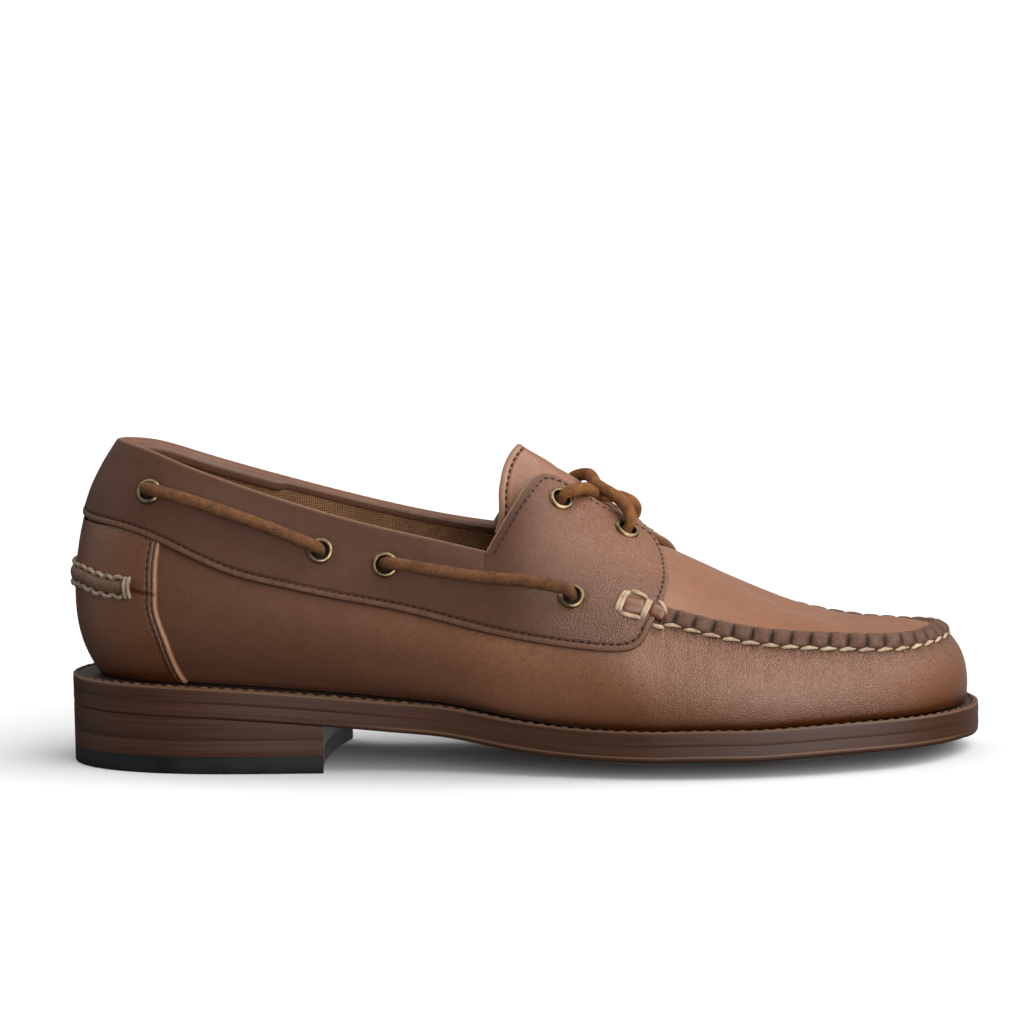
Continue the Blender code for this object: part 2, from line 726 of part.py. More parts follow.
def make_roll():
    """The gathered lip of the wall, rolled against the plug's edge from wing to wing."""
    first = PLUG_START * COLUMNS_PER_STATION
    last = (AROUND - PLUG_START) * COLUMNS_PER_STATION
    stations = np.arange(first, last + 1) / COLUMNS_PER_STATION
    heights = np.stack(
        [near_shoulder(stations, -ROLL_DEPTH * share) for share, _ in ROLL_SECTION], axis=1
    )
    lifts = np.array([thickness for _, thickness in ROLL_SECTION]) + CURVED_GAP
    stations = np.repeat(stations[:, None], len(ROLL_SECTION), axis=1)
    back_grid = lifted(stations, heights, CURVED_GAP)
    front_grid = back_grid + outward_normal(stations, heights) * (lifts - CURVED_GAP)[:, None]
    make_slab("moc_roll", front_grid, back_grid, "wall_leather")


def thicken(thing, thickness, side):
    """Give a sheet its wall, outwards with side 1 and inwards with side -1."""
    wall = thing.modifiers.new("wall", "SOLIDIFY")
    wall.thickness = thickness * MM
    wall.offset = side
    wall.use_even_offset = True
    wall.thickness_clamp = 0


def make_band():
    """The raised band round the collar, with a wing on each side of the throat."""
    edge_at = open_curve([r[0] for r in BAND_EDGE], [r[1:] for r in BAND_EDGE])
    top_edge_at = open_curve([r[0] for r in BAND_TOP], [r[1:] for r in BAND_TOP])
    rear = np.arange(0, BAND_REAR_END + 0.01, 1 / COLUMNS_PER_STATION)
    half = np.concatenate([rear, BAND_FRONT_STATIONS])
    sides = np.concatenate([-half[:0:-1], half])
    low = edge_at(np.abs(sides))
    high = np.where(np.abs(sides)[:, None] < BAND_TOP[0][0], 2.0, top_edge_at(np.abs(sides)))
    # Towards the front one row of the grid settles on the shoulder, where the ribs bend.
    settle_from, settle_to = BAND_SETTLES
    settle = np.clip((np.abs(sides) - settle_from) / (settle_to - settle_from), 0, 1)[:, None]
    middle = (low + BAND_LOW_SHARE * (high - low)) * (1 - settle) + settle
    lower = np.linspace(0, 1, BAND_LOW_ROWS, endpoint=False)[None, :]
    upper = np.linspace(0, 1, BAND_HIGH_ROWS + 1)[None, :]
    heights = np.hstack(
        [low * (1 - lower) + middle * lower, middle * (1 - upper) + high * upper]
    )
    stations = np.repeat(sides[:, None], heights.shape[1], axis=1)
    front_grid = lifted(stations, heights, CURVED_GAP + BAND_THICKNESS)
    back_grid = lifted(stations, heights, CURVED_GAP)
    make_slab("collar_band", front_grid, back_grid, "band_leather")


def make_counter():
    """The raised panel over the back of the heel, under the band."""
    edge_at = open_curve([r[0] for r in COUNTER_EDGE], [r[1:] for r in COUNTER_EDGE])
    band_at = open_curve([r[0] for r in BAND_EDGE], [r[1:] for r in BAND_EDGE])
    share = np.linspace(0, 1, COUNTER_ROWS)[None, :]
    spread = np.linspace(-1, 1, COUNTER_COLUMNS)[:, None]
    bottom = COUNTER_EDGE[0][0]
    top = COUNTER_EDGE[-1][0]
    reach = edge_at((bottom + (top - bottom) * share).ravel()).T
    stations = spread * reach
    ceiling = band_at(np.abs(stations).ravel()).reshape(stations.shape) - COUNTER_TO_BAND
    heights = bottom + (ceiling - bottom) * share
    front_grid = lifted(stations, heights, CURVED_GAP + COUNTER_THICKNESS)
    back_grid = lifted(stations, heights, CURVED_GAP)
    make_slab("heel_counter", front_grid, back_grid, "band_leather")


# Tongue.


def tongue_section(station, arch):
    """Points across the tongue's outside, from the outer side to the inner side."""
    depth = -(WALL + 4 * GAP)
    climb = np.linspace(TONGUE_SIDE, TONGUE_BEND, TONGUE_SIDE_ROWS)
    outer = lifted(np.full(TONGUE_SIDE_ROWS, station), climb, depth)
    inner = lifted(np.full(TONGUE_SIDE_ROWS, AROUND - station), climb, depth)
    reach = arch * np.linalg.norm(inner[-1] - outer[-1])
    outer_way = (outer[-1] - outer[-2]) / np.linalg.norm(outer[-1] - outer[-2])
    inner_way = (inner[-1] - inner[-2]) / np.linalg.norm(inner[-1] - inner[-2])
    u = np.linspace(0, 1, TONGUE_ARCH_ROWS)[1:-1]
    first = outer[-1] + reach * outer_way
    second = inner[-1] + reach * inner_way
    middle = bezier(outer[-1], first, second, inner[-1], u)
    return np.concatenate([outer, middle, inner[::-1]])


def make_tongue():
    sections = [tongue_section(*place) for place in zip(TONGUE_STATIONS, TONGUE_ARCHES)]
    last = sections[-1]
    side = np.abs(np.linspace(-1, 1, len(last)))[:, None] ** TONGUE_EDGE_CURVE
    sweep = np.where(last[:, 1:2] > 0, [1, -1, 1], [1, 1, 1]) * TONGUE_SWEEP
    move = np.array(TONGUE_RISE) * (1 - side) + sweep * side
    for step in range(1, TONGUE_END_STEPS + 1):
        sections.append(last + move * step / TONGUE_END_STEPS)
    front = np.array(sections)[:, ::-1]
    along = np.gradient(front, axis=0)
    across = np.gradient(front, axis=1)
    normal = np.cross(along, across)
    normal /= np.linalg.norm(normal, axis=-1)[..., None]
    normal *= np.where(normal[..., 2:] < 0, -1, 1)
    make_slab("tongue", front, front - TONGUE_THICKNESS * normal, "tongue_leather")


# Eyelets and laces.
BAND_OUT = CURVED_GAP + BAND_THICKNESS  # height of the band's face over the upper
EYELET_SEAT = BAND_OUT + 2 * GAP  # the flat ring stands a little off the curved band


def surface_frame(station, height):
    """Origin on the band's face, and unit vectors along the shoe, up the rib and outwards."""
    origin = lifted([station], [height], BAND_OUT)[0]
    out = outward_normal(np.array([station]), np.array([height]))[0]
    ahead, behind = station + FRAME_STEP, station - FRAME_STEP
    along = outside([ahead], [height])[0] - outside([behind], [height])[0]
    along -= out * along.dot(out)
    along /= np.linalg.norm(along)
    return origin, along, np.cross(out, along), out


def make_eyelet(name, station, height):
    """A brass ring: a turned section of four points round the hole's axis."""
    _, along, up, out = surface_frame(station, height)
    centre = lifted([station], [height], EYELET_SEAT)[0]
    profile = [(EYELET_HOLE + past, EYELET_HEIGHT * rise) for past, rise in EYELET_SECTION]
    points, faces = [], []
    count = len(profile)
    for k in range(EYELET_SIDES):
        angle = 2 * math.pi * k / EYELET_SIDES
        ray = along * math.cos(angle) + up * math.sin(angle)
        points += [centre + ray * radius + out * rise for radius, rise in profile]
    for k in range(EYELET_SIDES):
        here, there = k * count, (k + 1) % EYELET_SIDES * count
        for j in range(count):
            after = (j + 1) % count
            faces.append((here + j, there + j, there + after, here + after))
    make_mesh(name, points, faces, "brass")


def lace_end(station, height, ahead, exit_route):
    """Route of a lace out of an eyelet towards a place ahead."""
    origin, along, up, out = surface_frame(station, height)
    ahead = np.asarray(ahead, float) - origin
    ahead -= out * ahead.dot(out)
    ahead /= np.linalg.norm(ahead)
    return [origin + ahead * run + out * rise for run, rise in exit_route]


def smooth_route(points, steps):
    """Evenly spaced points on a smooth curve through the given ones."""
    points = np.array(points)
    lengths = np.concatenate([[0], np.cumsum(np.linalg.norm(np.diff(points, axis=0), axis=1))])
    fine = open_curve(lengths, points)(np.linspace(0, lengths[-1], FINE_STEPS))
    lengths = np.concatenate([[0], np.cumsum(np.linalg.norm(np.diff(fine, axis=0), axis=1))])
    even = np.linspace(0, lengths[-1], steps)
    return np.column_stack([np.interp(even, lengths, fine[:, k]) for k in range(3)])


def make_lace(name, route):
    """A round rawhide lace along a route, with closed ends."""
    curve = bpy.data.curves.new(name, "CURVE")
    curve.dimensions = "3D"
    curve.bevel_depth = LACE_RADIUS * MM
    curve.bevel_resolution = LACE_BEVEL
    curve.use_fill_caps = True
    spline = curve.splines.new("POLY")
    spline.points.add(len(route) - 1)
    for point, place in zip(spline.points, route):
        point.co = (*((place - [ORIGIN_X, ORIGIN_Y, 0.0]) * MM), 1)
    curve.materials.append(finish_material("lace_suede"))
    lace = bpy.data.objects.new(name, curve)
    bpy.context.scene.collection.objects.link(lace)
    return lace


def make_side_lace(name, start, end, bow):
    """A bar between two eyelets of one side, standing off the band by the bow."""
    places = [surface_frame(*place)[0] for place in (start, end)]
    middle = (places[0] + places[1]) / 2
    station = (signed_station(start[0]) + signed_station(end[0])) / 2
    height = (start[1] + end[1]) / 2
    nearest = nearest_height(float(station), height, middle)
    clear = lifted([nearest[0]], [nearest[1]], BAND_OUT + LACE_RADIUS + bow)[0]
    route = lace_end(*start, places[1], SIDE_EXIT) + [clear]
    route += lace_end(*end, places[0], SIDE_EXIT)[::-1]
    make_lace(name, smooth_route(route, SIDE_LACE_STEPS))


def nearest_height(station, height, place):
    """Station and height on the upper that lie nearest to a place."""
    rear, front = station - NEAR_STATIONS, station + NEAR_STATIONS
    low = max(height - NEAR_HEIGHTS, NEAR_LEAST_HEIGHT)
    high = min(height + NEAR_HEIGHTS, 2)
    stations = np.arange(rear, front, NEAR_STATION_STEP)[:, None]
    heights = np.arange(low, high, NEAR_HEIGHT_STEP)[None, :]
    grid = outside(stations, heights)
    distance = np.linalg.norm(grid - place, axis=-1)
    i, j = np.unravel_index(np.argmin(distance), distance.shape)
    return float(stations[i, 0]), float(heights[0, j])


def make_crossing(eyelets):
    """Two strands that cross over the tongue, joined where they touch."""
    strands = []
    for name, start, end, rise in (
        ("strand_under", "outer_wing_rear", "inner_wing_front", CROSSING_RISES[0]),
        ("throat_lace", "inner_wing_rear", "outer_wing_front", CROSSING_RISES[1]),
    ):
        places = [surface_frame(*eyelets[key])[0] for key in (start, end)]
        middle = (places[0] + places[1]) / 2 + [0, 0, rise]
        route = lace_end(*eyelets[start], places[1], THROAT_EXIT) + [middle]
        route += lace_end(*eyelets[end], places[0], THROAT_EXIT)[::-1]
        strands.append(make_lace(name, smooth_route(route, CROSSING_STEPS)))
    under, over = [mesh_copy(strand) for strand in strands]
    join = over.modifiers.new("join", "BOOLEAN")
    join.operation = "UNION"
    join.object = under
    under.hide_render = True
    under.display_type = "WIRE"


def mesh_copy(thing):
    """The same object as a mesh under the same name."""
    graph = bpy.context.evaluated_depsgraph_get()
    mesh = bpy.data.meshes.new_from_object(thing.evaluated_get(graph))
    name = thing.name
    bpy.data.objects.remove(thing, do_unlink=True)
    copy = bpy.data.objects.new(name, mesh)
    bpy.context.scene.collection.objects.link(copy)
    return copy


def make_lacing():
    eyelets = {}
    for name, outer_station, outer_height, inner_station, inner_height in EYELETS:
        eyelets["outer_" + name] = (outer_station, outer_height)
        eyelets["inner_" + name] = (-inner_station, inner_height)
    for name, place in eyelets.items():
        make_eyelet("eyelet_" + name, *place)
    for side in ("outer", "inner"):
        rear = (eyelets[side + "_side_1"], eyelets[side + "_side_2"])
        front = (eyelets[side + "_side_3"], eyelets[side + "_side_4"])
        make_side_lace(f"side_lace_{side}_rear", *rear, SIDE_LACE_BOWS[0])
        make_side_lace(f"side_lace_{side}_front", *front, SIDE_LACE_BOWS[1])
    make_crossing(eyelets)


clear_scene()
make_heel()
make_outsole()
make_midsole()
make_insole()
make_upper()
make_plug()
make_roll()
make_tongue()
make_band()
make_counter()
make_lacing()
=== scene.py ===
"""Finished looks of a laced moccasin-toe loafer, right foot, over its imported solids.

Sizes are in millimetres from the back of the heel, with y to the inner (big toe) side and z from
the floor. A place on the upper is a station and a height. Stations run from the heel's back (0)
to the toe tip (14), positive on the outer side and negative on the inner side. A height climbs
from the foot of the wall (0) over the shoulder (1) to the collar, wing edge or plug ridge (2).
"""

import math

import bpy
import numpy as np
from mathutils import Matrix
from mathutils.kdtree import KDTree


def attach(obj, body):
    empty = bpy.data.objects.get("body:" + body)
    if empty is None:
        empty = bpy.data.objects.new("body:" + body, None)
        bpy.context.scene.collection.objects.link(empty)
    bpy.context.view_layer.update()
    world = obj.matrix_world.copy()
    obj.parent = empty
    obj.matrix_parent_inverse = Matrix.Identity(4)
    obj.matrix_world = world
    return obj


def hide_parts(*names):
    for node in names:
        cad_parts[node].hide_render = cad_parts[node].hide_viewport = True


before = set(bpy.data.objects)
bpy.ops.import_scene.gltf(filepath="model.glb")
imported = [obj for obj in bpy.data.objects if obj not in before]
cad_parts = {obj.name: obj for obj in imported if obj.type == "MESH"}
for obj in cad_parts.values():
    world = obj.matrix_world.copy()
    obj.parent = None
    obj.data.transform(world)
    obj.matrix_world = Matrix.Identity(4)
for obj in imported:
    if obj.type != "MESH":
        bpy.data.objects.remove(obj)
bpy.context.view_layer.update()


# ------------------------------------------------------------------ Outsole and midsole
# Two layers of bark-tanned sole leather, cut to one outline and cemented together. Their edges
# are trimmed flush, stained dark, waxed and burnished lengthways. Thread in a groove on the
# ledge round the upper holds both layers to it.

HEEL_BACK = np.array([148.0, 0.35, 0.0])  # the row frame's origin, from the back of the heel
SOLE_THICKNESS = 10.2
GAP = 0.3  # between the sole and the wall that stands on it

OUTLINE = [
    # name, outer x, outer y, inner x, inner y
    ("heel_back", -2.8, 0.0, -2.8, 0.0),
    ("heel_curve", 7.6, -20.4, 7.6, 20.4),
    ("heel_side", 38.0, -32.0, 38.0, 32.0),
    ("breast", 80.0, -33.0, 82.0, 30.0),
    ("waist", 117.0, -34.5, 117.0, 26.5),
    ("collar_dip", 138.0, -38.5, 137.0, 28.8),
    ("wing_rear", 149.0, -41.2, 148.0, 31.8),
    ("wing_top", 160.0, -43.8, 159.0, 35.2),
    ("instep", 174.0, -46.8, 173.0, 39.8),
    ("throat", 186.0, -48.8, 186.0, 44.0),
    ("ball", 199.0, -49.8, 200.0, 47.6),
    ("vamp", 226.0, -48.0, 227.0, 50.5),
    ("toe_side", 257.5, -39.5, 260.0, 46.8),
    ("toe_corner", 285.8, -22.3, 287.3, 32.2),
    ("toe_tip", 298.8, 7.0, 298.8, 7.0),
]
SOLE_PROFILE = [
    # x, underside z, edge lift
    (0.0, 19.4, 0.0),
    (40.0, 18.7, 0.0),
    (85.0, 15.5, 0.0),
    (110.0, 13.0, 0.3),
    (124.0, 11.2, 0.9),
    (140.0, 7.7, 1.8),
    (170.0, 2.2, 4.2),
    (195.0, 0.0, 5.9),
    (225.0, 0.0, 5.9),
    (255.0, 2.0, 4.6),
    (280.0, 4.3, 2.1),
    (299.0, 5.7, 0.3),
]
TOE = len(OUTLINE) - 1
AROUND = 2 * TOE


def smooth(value, low, high):
    """0 before low and 1 after high, with a soft rise between."""
    share = np.clip((np.asarray(value, float) - low) / (high - low), 0, 1)
    return share * share * (3 - 2 * share)


def bell(value, middle, width):
    """1 at the middle, and less and less to both sides of it."""
    return np.exp(-(((value - middle) / width) ** 2))


def unit(vectors):
    return vectors / np.linalg.norm(vectors, axis=-1)[..., None]


def round_curve(rows):
    """Smooth closed curve through evenly spaced rows."""
    rows = np.asarray(rows, float)
    count = len(rows)
    matrix = 4 * np.eye(count)
    matrix += np.roll(np.eye(count), 1, axis=0) + np.roll(np.eye(count), -1, axis=0)
    slopes = np.linalg.solve(matrix, 3 * (np.roll(rows, -1, 0) - np.roll(rows, 1, 0)))

    def at(position):
        position = np.asarray(position, float) % count
        low = np.floor(position).astype(int) % count
        u = (position - np.floor(position))[:, None]
        high = (low + 1) % count
        value = (1 + 2 * u) * (1 - u) ** 2 * rows[low] + u * u * (3 - 2 * u) * rows[high]
        return value + u * (1 - u) ** 2 * slopes[low] + u * u * (u - 1) * slopes[high]

    return at


def open_curve(places, rows):
    """Smooth curve through rows at the given places, held at its ends."""
    places = np.asarray(places, float)
    rows = np.asarray(rows, float).reshape(len(places), -1)
    steps = np.diff(places)
    matrix = np.zeros((len(places), len(places)))
    right = np.zeros(rows.shape)
    matrix[0, :2] = 2, 1
    matrix[-1, -2:] = 1, 2
    right[0] = 3 * (rows[1] - rows[0]) / steps[0]
    right[-1] = 3 * (rows[-1] - rows[-2]) / steps[-1]
    for k in range(1, len(places) - 1):
        before, after = steps[k - 1], steps[k]
        matrix[k, k - 1 : k + 2] = 1 / before, 2 / before + 2 / after, 1 / after
        right[k] = 3 * (rows[k] - rows[k - 1]) / before**2
        right[k] += 3 * (rows[k + 1] - rows[k]) / after**2
    slopes = np.linalg.solve(matrix, right)

    def at(place):
        place = np.clip(np.asarray(place, float), places[0], places[-1])
        low = np.clip(np.searchsorted(places, place, side="right") - 1, 0, len(steps) - 1)
        step = steps[low][:, None]
        u = (place - places[low])[:, None] / step
        value = (1 + 2 * u) * (1 - u) ** 2 * rows[low] + u * u * (3 - 2 * u) * rows[low + 1]
        value += step * u * (1 - u) ** 2 * slopes[low]
        return value + step * u * u * (u - 1) * slopes[low + 1]

    return at


def both_sides(outer, inner):
    """Rows round the shoe: heel to toe on the outer side, then back on the inner side."""
    return list(outer) + list(inner)[-2:0:-1]


outline_at = round_curve(both_sides([r[1:3] for r in OUTLINE], [r[3:5] for r in OUTLINE]))
profile_at = open_curve([r[0] for r in SOLE_PROFILE], [r[1:] for r in SOLE_PROFILE])


def outward_at(station):
    """Level unit vector out of the sole's edge."""
    along = unit(outline_at(station + 0.01) - outline_at(station - 0.01))
    return np.stack([along[:, 1], -along[:, 0]], axis=1)


samples = np.linspace(0, TOE, 400)
outer_edge = outline_at(samples)
inner_edge = outline_at(AROUND - samples)


def underside(x, y):
    """Height of the sole's underside over the floor: flat down the middle, curled at the edge."""
    outer = np.interp(x, outer_edge[:, 0], outer_edge[:, 1])
    inner = np.interp(x, inner_edge[:, 0], inner_edge[:, 1])
    half = np.maximum((inner - outer) / 2, 18.0)
    share = np.clip(np.abs(y - (outer + inner) / 2) / half, 0, 1.1)
    low, lift = profile_at(np.ravel(x)).T
    curl = np.clip((share - 0.35) / 0.65, 0, None) ** 1.7
    return np.maximum(low, 0).reshape(np.shape(x)) + lift.reshape(np.shape(x)) * curl


def sheet_faces(rows, columns, closed=False):
    """Quads over a grid of points. Closed joins the last row to the first."""
    i, j = np.meshgrid(
        np.arange(rows if closed else rows - 1), np.arange(columns - 1), indexing="ij"
    )
    here = i * columns + j
    after = (i + 1) % rows * columns + j
    return np.stack([here, after, after + 1, here + 1], axis=-1).reshape(-1, 4)


def add_piece(name, points, faces, material, slot, stands_for=(), marks=None):
    """A shoe piece that rides on the frame. Marks are numbers at its points for its finish."""
    shape = np.shape(points)[:-1]
    points = (np.asarray(points, float).reshape(-1, 3) - HEEL_BACK) * 0.001
    mesh = bpy.data.meshes.new(name)
    mesh.from_pydata(points.tolist(), [], [tuple(map(int, face)) for face in faces])
    mesh.shade_smooth()
    for mark, values in (marks or {}).items():
        attribute = mesh.attributes.new(mark, "FLOAT", "POINT")
        values = np.broadcast_to(values, shape).astype(np.float32)
        attribute.data.foreach_set("value", values.ravel())
    piece = bpy.data.objects.new(name, mesh)
    bpy.context.scene.collection.objects.link(piece)
    mesh.materials.append(material)
    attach(piece, "root")
    if stands_for:
        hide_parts(*stands_for)
    return piece


def joined(parts):
    """Points and faces of several meshes as one."""
    points, faces, start = [], [], 0
    for some_points, some_faces in parts:
        points.append(np.asarray(some_points, float).reshape(-1, 3))
        faces.extend([[int(k) + start for k in face] for face in some_faces])
        start += len(points[-1])
    return np.concatenate(points), faces


def run_along(line):
    """Distance from a line's start to each of its points."""
    return np.concatenate([[0], np.cumsum(np.linalg.norm(np.diff(line, axis=0), axis=1))])


def line_at(place, run, line):
    """Points or directions of a line at places along its run."""
    return np.stack([np.interp(place, run, line[:, k]) for k in range(3)], axis=-1)


def even_line(points, step):
    """The same line with its points at an even step, and its length."""
    run = run_along(points)
    places = np.linspace(0, run[-1], max(int(round(run[-1] / step)), 2) + 1)
    return line_at(places, run, points), run[-1]


def stitch_row(line, outs, pitch, length, width, sink):
    """Sewn thread lengths one after another along a line, bedded in the surface."""
    run = run_along(line)
    count = int(run[-1] / pitch)
    centres = (np.arange(count) + 0.5) * run[-1] / count
    reach = np.array([-1, -0.86, -0.5, 0, 0.5, 0.86, 1.0])
    girth = np.array([0.05, 0.62, 0.95, 1.0, 0.95, 0.62, 0.05])
    turn = np.arange(8) * math.pi / 4
    parts = []
    faces = sheet_faces(len(reach), 9)
    for centre in centres:
        behind, middle, ahead = line_at(centre + np.array([-1, 0, 1]), run, line)
        along = unit(ahead - behind)
        out = line_at(centre, run, outs)
        out = unit(out - along * out.dot(along))
        side = np.cross(out, along)
        ring = np.outer(np.cos(turn), side) + np.outer(np.sin(turn), out)
        ring = np.vstack([ring, ring[:1]])
        body = middle + out * (-sink * reach[:, None, None] ** 2)
        body = body + along * (reach * length / 2)[:, None, None]
        body = body + ring[None] * (girth * width / 2)[:, None, None]
        parts.append((body, faces))
    return joined(parts)


def put(tree, kind, inputs=None, **settings):
    """A shader node with its settings, and its sockets set or linked."""
    made = tree.nodes.new(kind)
    for key, value in settings.items():
        setattr(made, key, value)
    for key, value in (inputs or {}).items():
        socket = made.inputs[key]
        if isinstance(value, bpy.types.NodeSocket):
            tree.links.new(value, socket)
        else:
            socket.default_value = (*value, 1) if socket.type == "RGBA" else value
    return made


def new_finish(name, roughness, **fixed):
    """An empty finish: its node tree and its shader."""
    material = bpy.data.materials.new(name)
    material.use_nodes = True
    shader = material.node_tree.nodes["Principled BSDF"]
    shader.inputs["Roughness"].default_value = roughness
    for key, value in fixed.items():
        shader.inputs[key.replace("_", " ")].default_value = value
    return material, material.node_tree, shader


def tint(tree, share, first, second):
    """Colour that goes from the first to the second as the share rises."""
    mix = put(tree, "ShaderNodeMix", {0: share, 6: first, 7: second}, data_type="RGBA")
    return mix.outputs[2]


def ramp(tree, value, low, high, start=0.0, end=1.0):
    """A number carried from one range to another, held at its ends."""
    made = put(tree, "ShaderNodeMapRange", {0: value, 1: low, 2: high, 3: start, 4: end})
    return made.outputs[0]


def clouded(tree, colour, steps):
    """Colour after each step of pattern, low and high reading, strongest share, and goal."""
    for pattern, low, high, most, goal in steps:
        colour = tint(tree, ramp(tree, pattern, low, high, 0.0, most), colour, goal)
    return colour


def arithmetic(tree, operation, first, second):
    return put(tree, "ShaderNodeMath", {0: first, 1: second}, operation=operation).outputs[0]


def mark_of(tree, name):
    return put(tree, "ShaderNodeAttribute", attribute_name=name).outputs["Fac"]


def place_of(tree):
    """Place on the shoe, in metres."""
    return put(tree, "ShaderNodeTexCoord").outputs["Object"]


def noise_of(tree, vector, scale, detail=3.0, rough=0.55):
    inputs = {"Vector": vector, "Scale": scale, "Detail": detail, "Roughness": rough}
    return put(tree, "ShaderNodeTexNoise", inputs).outputs["Fac"]


def coat(tree, shader, colour, layers, roughness=None):
    """Gives a finish its colour and gloss, and its relief in layers of height, strength, depth."""
    tree.links.new(colour, shader.inputs["Base Color"])
    if roughness is not None:
        tree.links.new(roughness, shader.inputs["Roughness"])
    below = {}
    for height, strength, depth in layers:
        inputs = {"Height": height, "Strength": strength, "Distance": depth, **below}
        below = {"Normal": put(tree, "ShaderNodeBump", inputs).outputs[0]}
    tree.links.new(below["Normal"], shader.inputs["Normal"])


def burnished_edge(name, dark, light):
    """Waxed sole edge: fine level streaks along it, from the mark that gives its level."""
    material, tree, shader = new_finish(name, 0.5, Specular_IOR_Level=0.25)
    level = mark_of(tree, "level")
    parts = put(tree, "ShaderNodeSeparateXYZ", {0: place_of(tree)})
    streaks = []
    for along, up in ((18, 900), (55, 2600), (6, 260)):
        x = arithmetic(tree, "MULTIPLY", parts.outputs[0], along)
        y = arithmetic(tree, "MULTIPLY", parts.outputs[1], along)
        z = arithmetic(tree, "MULTIPLY", level, up)
        vector = put(tree, "ShaderNodeCombineXYZ", {0: x, 1: y, 2: z}).outputs[0]
        streaks.append(noise_of(tree, vector, 1.0, 4.0, 0.6))
    broad, fine, wide = streaks
    colour = tint(tree, ramp(tree, broad, 0.34, 0.68, 0.1, 0.8), dark, light)
    colour = clouded(
        tree, colour, [(wide, 0.35, 0.65, 0.45, dark), (fine, 0.58, 0.75, 0.25, light)]
    )
    colour = tint(tree, mark_of(tree, "pale"), colour, (0.30, 0.17, 0.10))
    # deep: dark joints between layers, and painted shade on the heel's breast and the ledge's top
    colour = tint(tree, mark_of(tree, "deep"), colour, (0.012, 0.007, 0.005))
    gloss = ramp(tree, broad, 0.3, 0.7, 0.36, 0.52)
    coat(tree, shader, colour, [(fine, 0.25, 0.0002)], gloss)
    return material


sole_edge_finish = burnished_edge(
    "burnished sole edge", (0.034, 0.0135, 0.007), (0.078, 0.032, 0.0165)
)

SOLE_COLUMNS = 24  # per station
sole_stations = np.arange(AROUND * SOLE_COLUMNS) / SOLE_COLUMNS


def sole_rings(section, inward_shares=()):
    """Rings round the sole: a section of (inset, rise), then rings in to the middle line."""
    edge, out = outline_at(sole_stations), outward_at(sole_stations)
    plans = [edge - out * inset for inset, _ in section]
    rises = [rise for _, rise in section] + [section[-1][1]] * len(inward_shares)
    last = plans[-1]
    middle = (last + np.roll(last[::-1], 1, axis=0)) / 2
    plans += [last * (1 - share) + middle * share for share in inward_shares]
    rings = [
        np.column_stack([plan, underside(*plan.T) + rise]) for plan, rise in zip(plans, rises)
    ]
    return np.stack(rings, axis=1), np.tile(rises, (len(edge), 1))


outsole_section = [
    # inset from the outline, rise over the underside
    (0.9, 5.12), (0.05, 5.12), (0.0, 5.04), (0.0, 4.8), (0.0, 4.2), (-0.05, 3.0), (0.0, 2.0),
    (0.03, 1.7), (0.06, 1.5), (0.03, 1.3), (0.05, 1.0), (0.16, 0.5), (0.4, 0.15), (0.8, 0.02),
    (1.4, 0.0),
]
rings, levels = sole_rings(outsole_section, (0.12, 0.3, 0.5, 0.7, 0.85, 1.0))
forepart = smooth(rings[..., 0], 84, 120) * (1 - smooth(rings[..., 0], 286, 300))
lip_line = bell(levels, 1.5, 0.28) * (levels < 2.2)
add_piece(
    "leather_outsole",
    rings,
    sheet_faces(*rings.shape[:2], closed=True)[:, ::-1],
    sole_edge_finish,
    "sole_edge",
    ["outsole"],
    {
        "level": levels * 0.001,
        "pale": lip_line * forepart * 0.36,
        "deep": bell(levels, 5.05, 0.12) * 0.05,
    },
)

midsole_section = [
    # inset from the outline, rise over the outsole's underside
    (14.0, 10.2), (8.0, 10.2), (5.4, 10.2), (3.3, 10.2), (2.7, 10.05), (2.0, 9.95), (1.3, 10.05),
    (0.8, 10.2), (0.42, 10.16), (0.12, 9.95), (0.02, 9.6), (0.0, 9.2), (-0.06, 8.0), (0.0, 6.2),
    (0.0, 5.2), (0.05, 5.12), (0.8, 5.12), (2.0, 5.12),
]
rings, levels = sole_rings(midsole_section)
insets = np.array([row[0] for row in midsole_section])
add_piece(
    "leather_midsole",
    rings,
    sheet_faces(*rings.shape[:2], closed=True)[:, ::-1],
    sole_edge_finish,
    "sole_edge",
    ["midsole"],
    {
        "level": levels * 0.001,
        "pale": 0.28 * smooth(levels, 9.15, 9.65) * (insets < 0.9),
        # deep: painted shade on the ledge's top, darker further in under the upper
        "deep": (levels > 9.9) * (0.15 + 0.75 * smooth(insets, 2.2, 5.0)),
    },
)


def spun_thread(name, light, dark, roughness=0.75):
    """Waxed linen thread: a fine twist and a little grime."""
    material, tree, shader = new_finish(name, roughness, Specular_IOR_Level=0.15)
    where = place_of(tree)
    grime = noise_of(tree, where, 260, 4.0)
    fibre = noise_of(tree, where, 2200, 2.0)
    colour = clouded(tree, light, [(grime, 0.38, 0.66, 1.0, dark), (fibre, 0.45, 0.7, 0.5, dark)])
    coat(tree, shader, colour, [(fibre, 0.7, 0.0002)])
    return material


WELT_INSET = 1.5
welt_thread = spun_thread("welt thread", (0.15, 0.082, 0.050), (0.055, 0.028, 0.018))
plan = outline_at(sole_stations) - outward_at(sole_stations) * WELT_INSET
welt_line = np.column_stack([plan, underside(*plan.T) + SOLE_THICKNESS - 0.1])
welt_line, _ = even_line(np.vstack([welt_line, welt_line[:1]]), 1.0)
upwards = np.tile([0.0, 0.0, 1.0], (len(welt_line), 1))
welt_row = stitch_row(welt_line, upwards, pitch=3.9, length=3.2, width=1.0, sink=0.3)
add_piece("welt_stitches", *welt_row, welt_thread, "sole_edge")
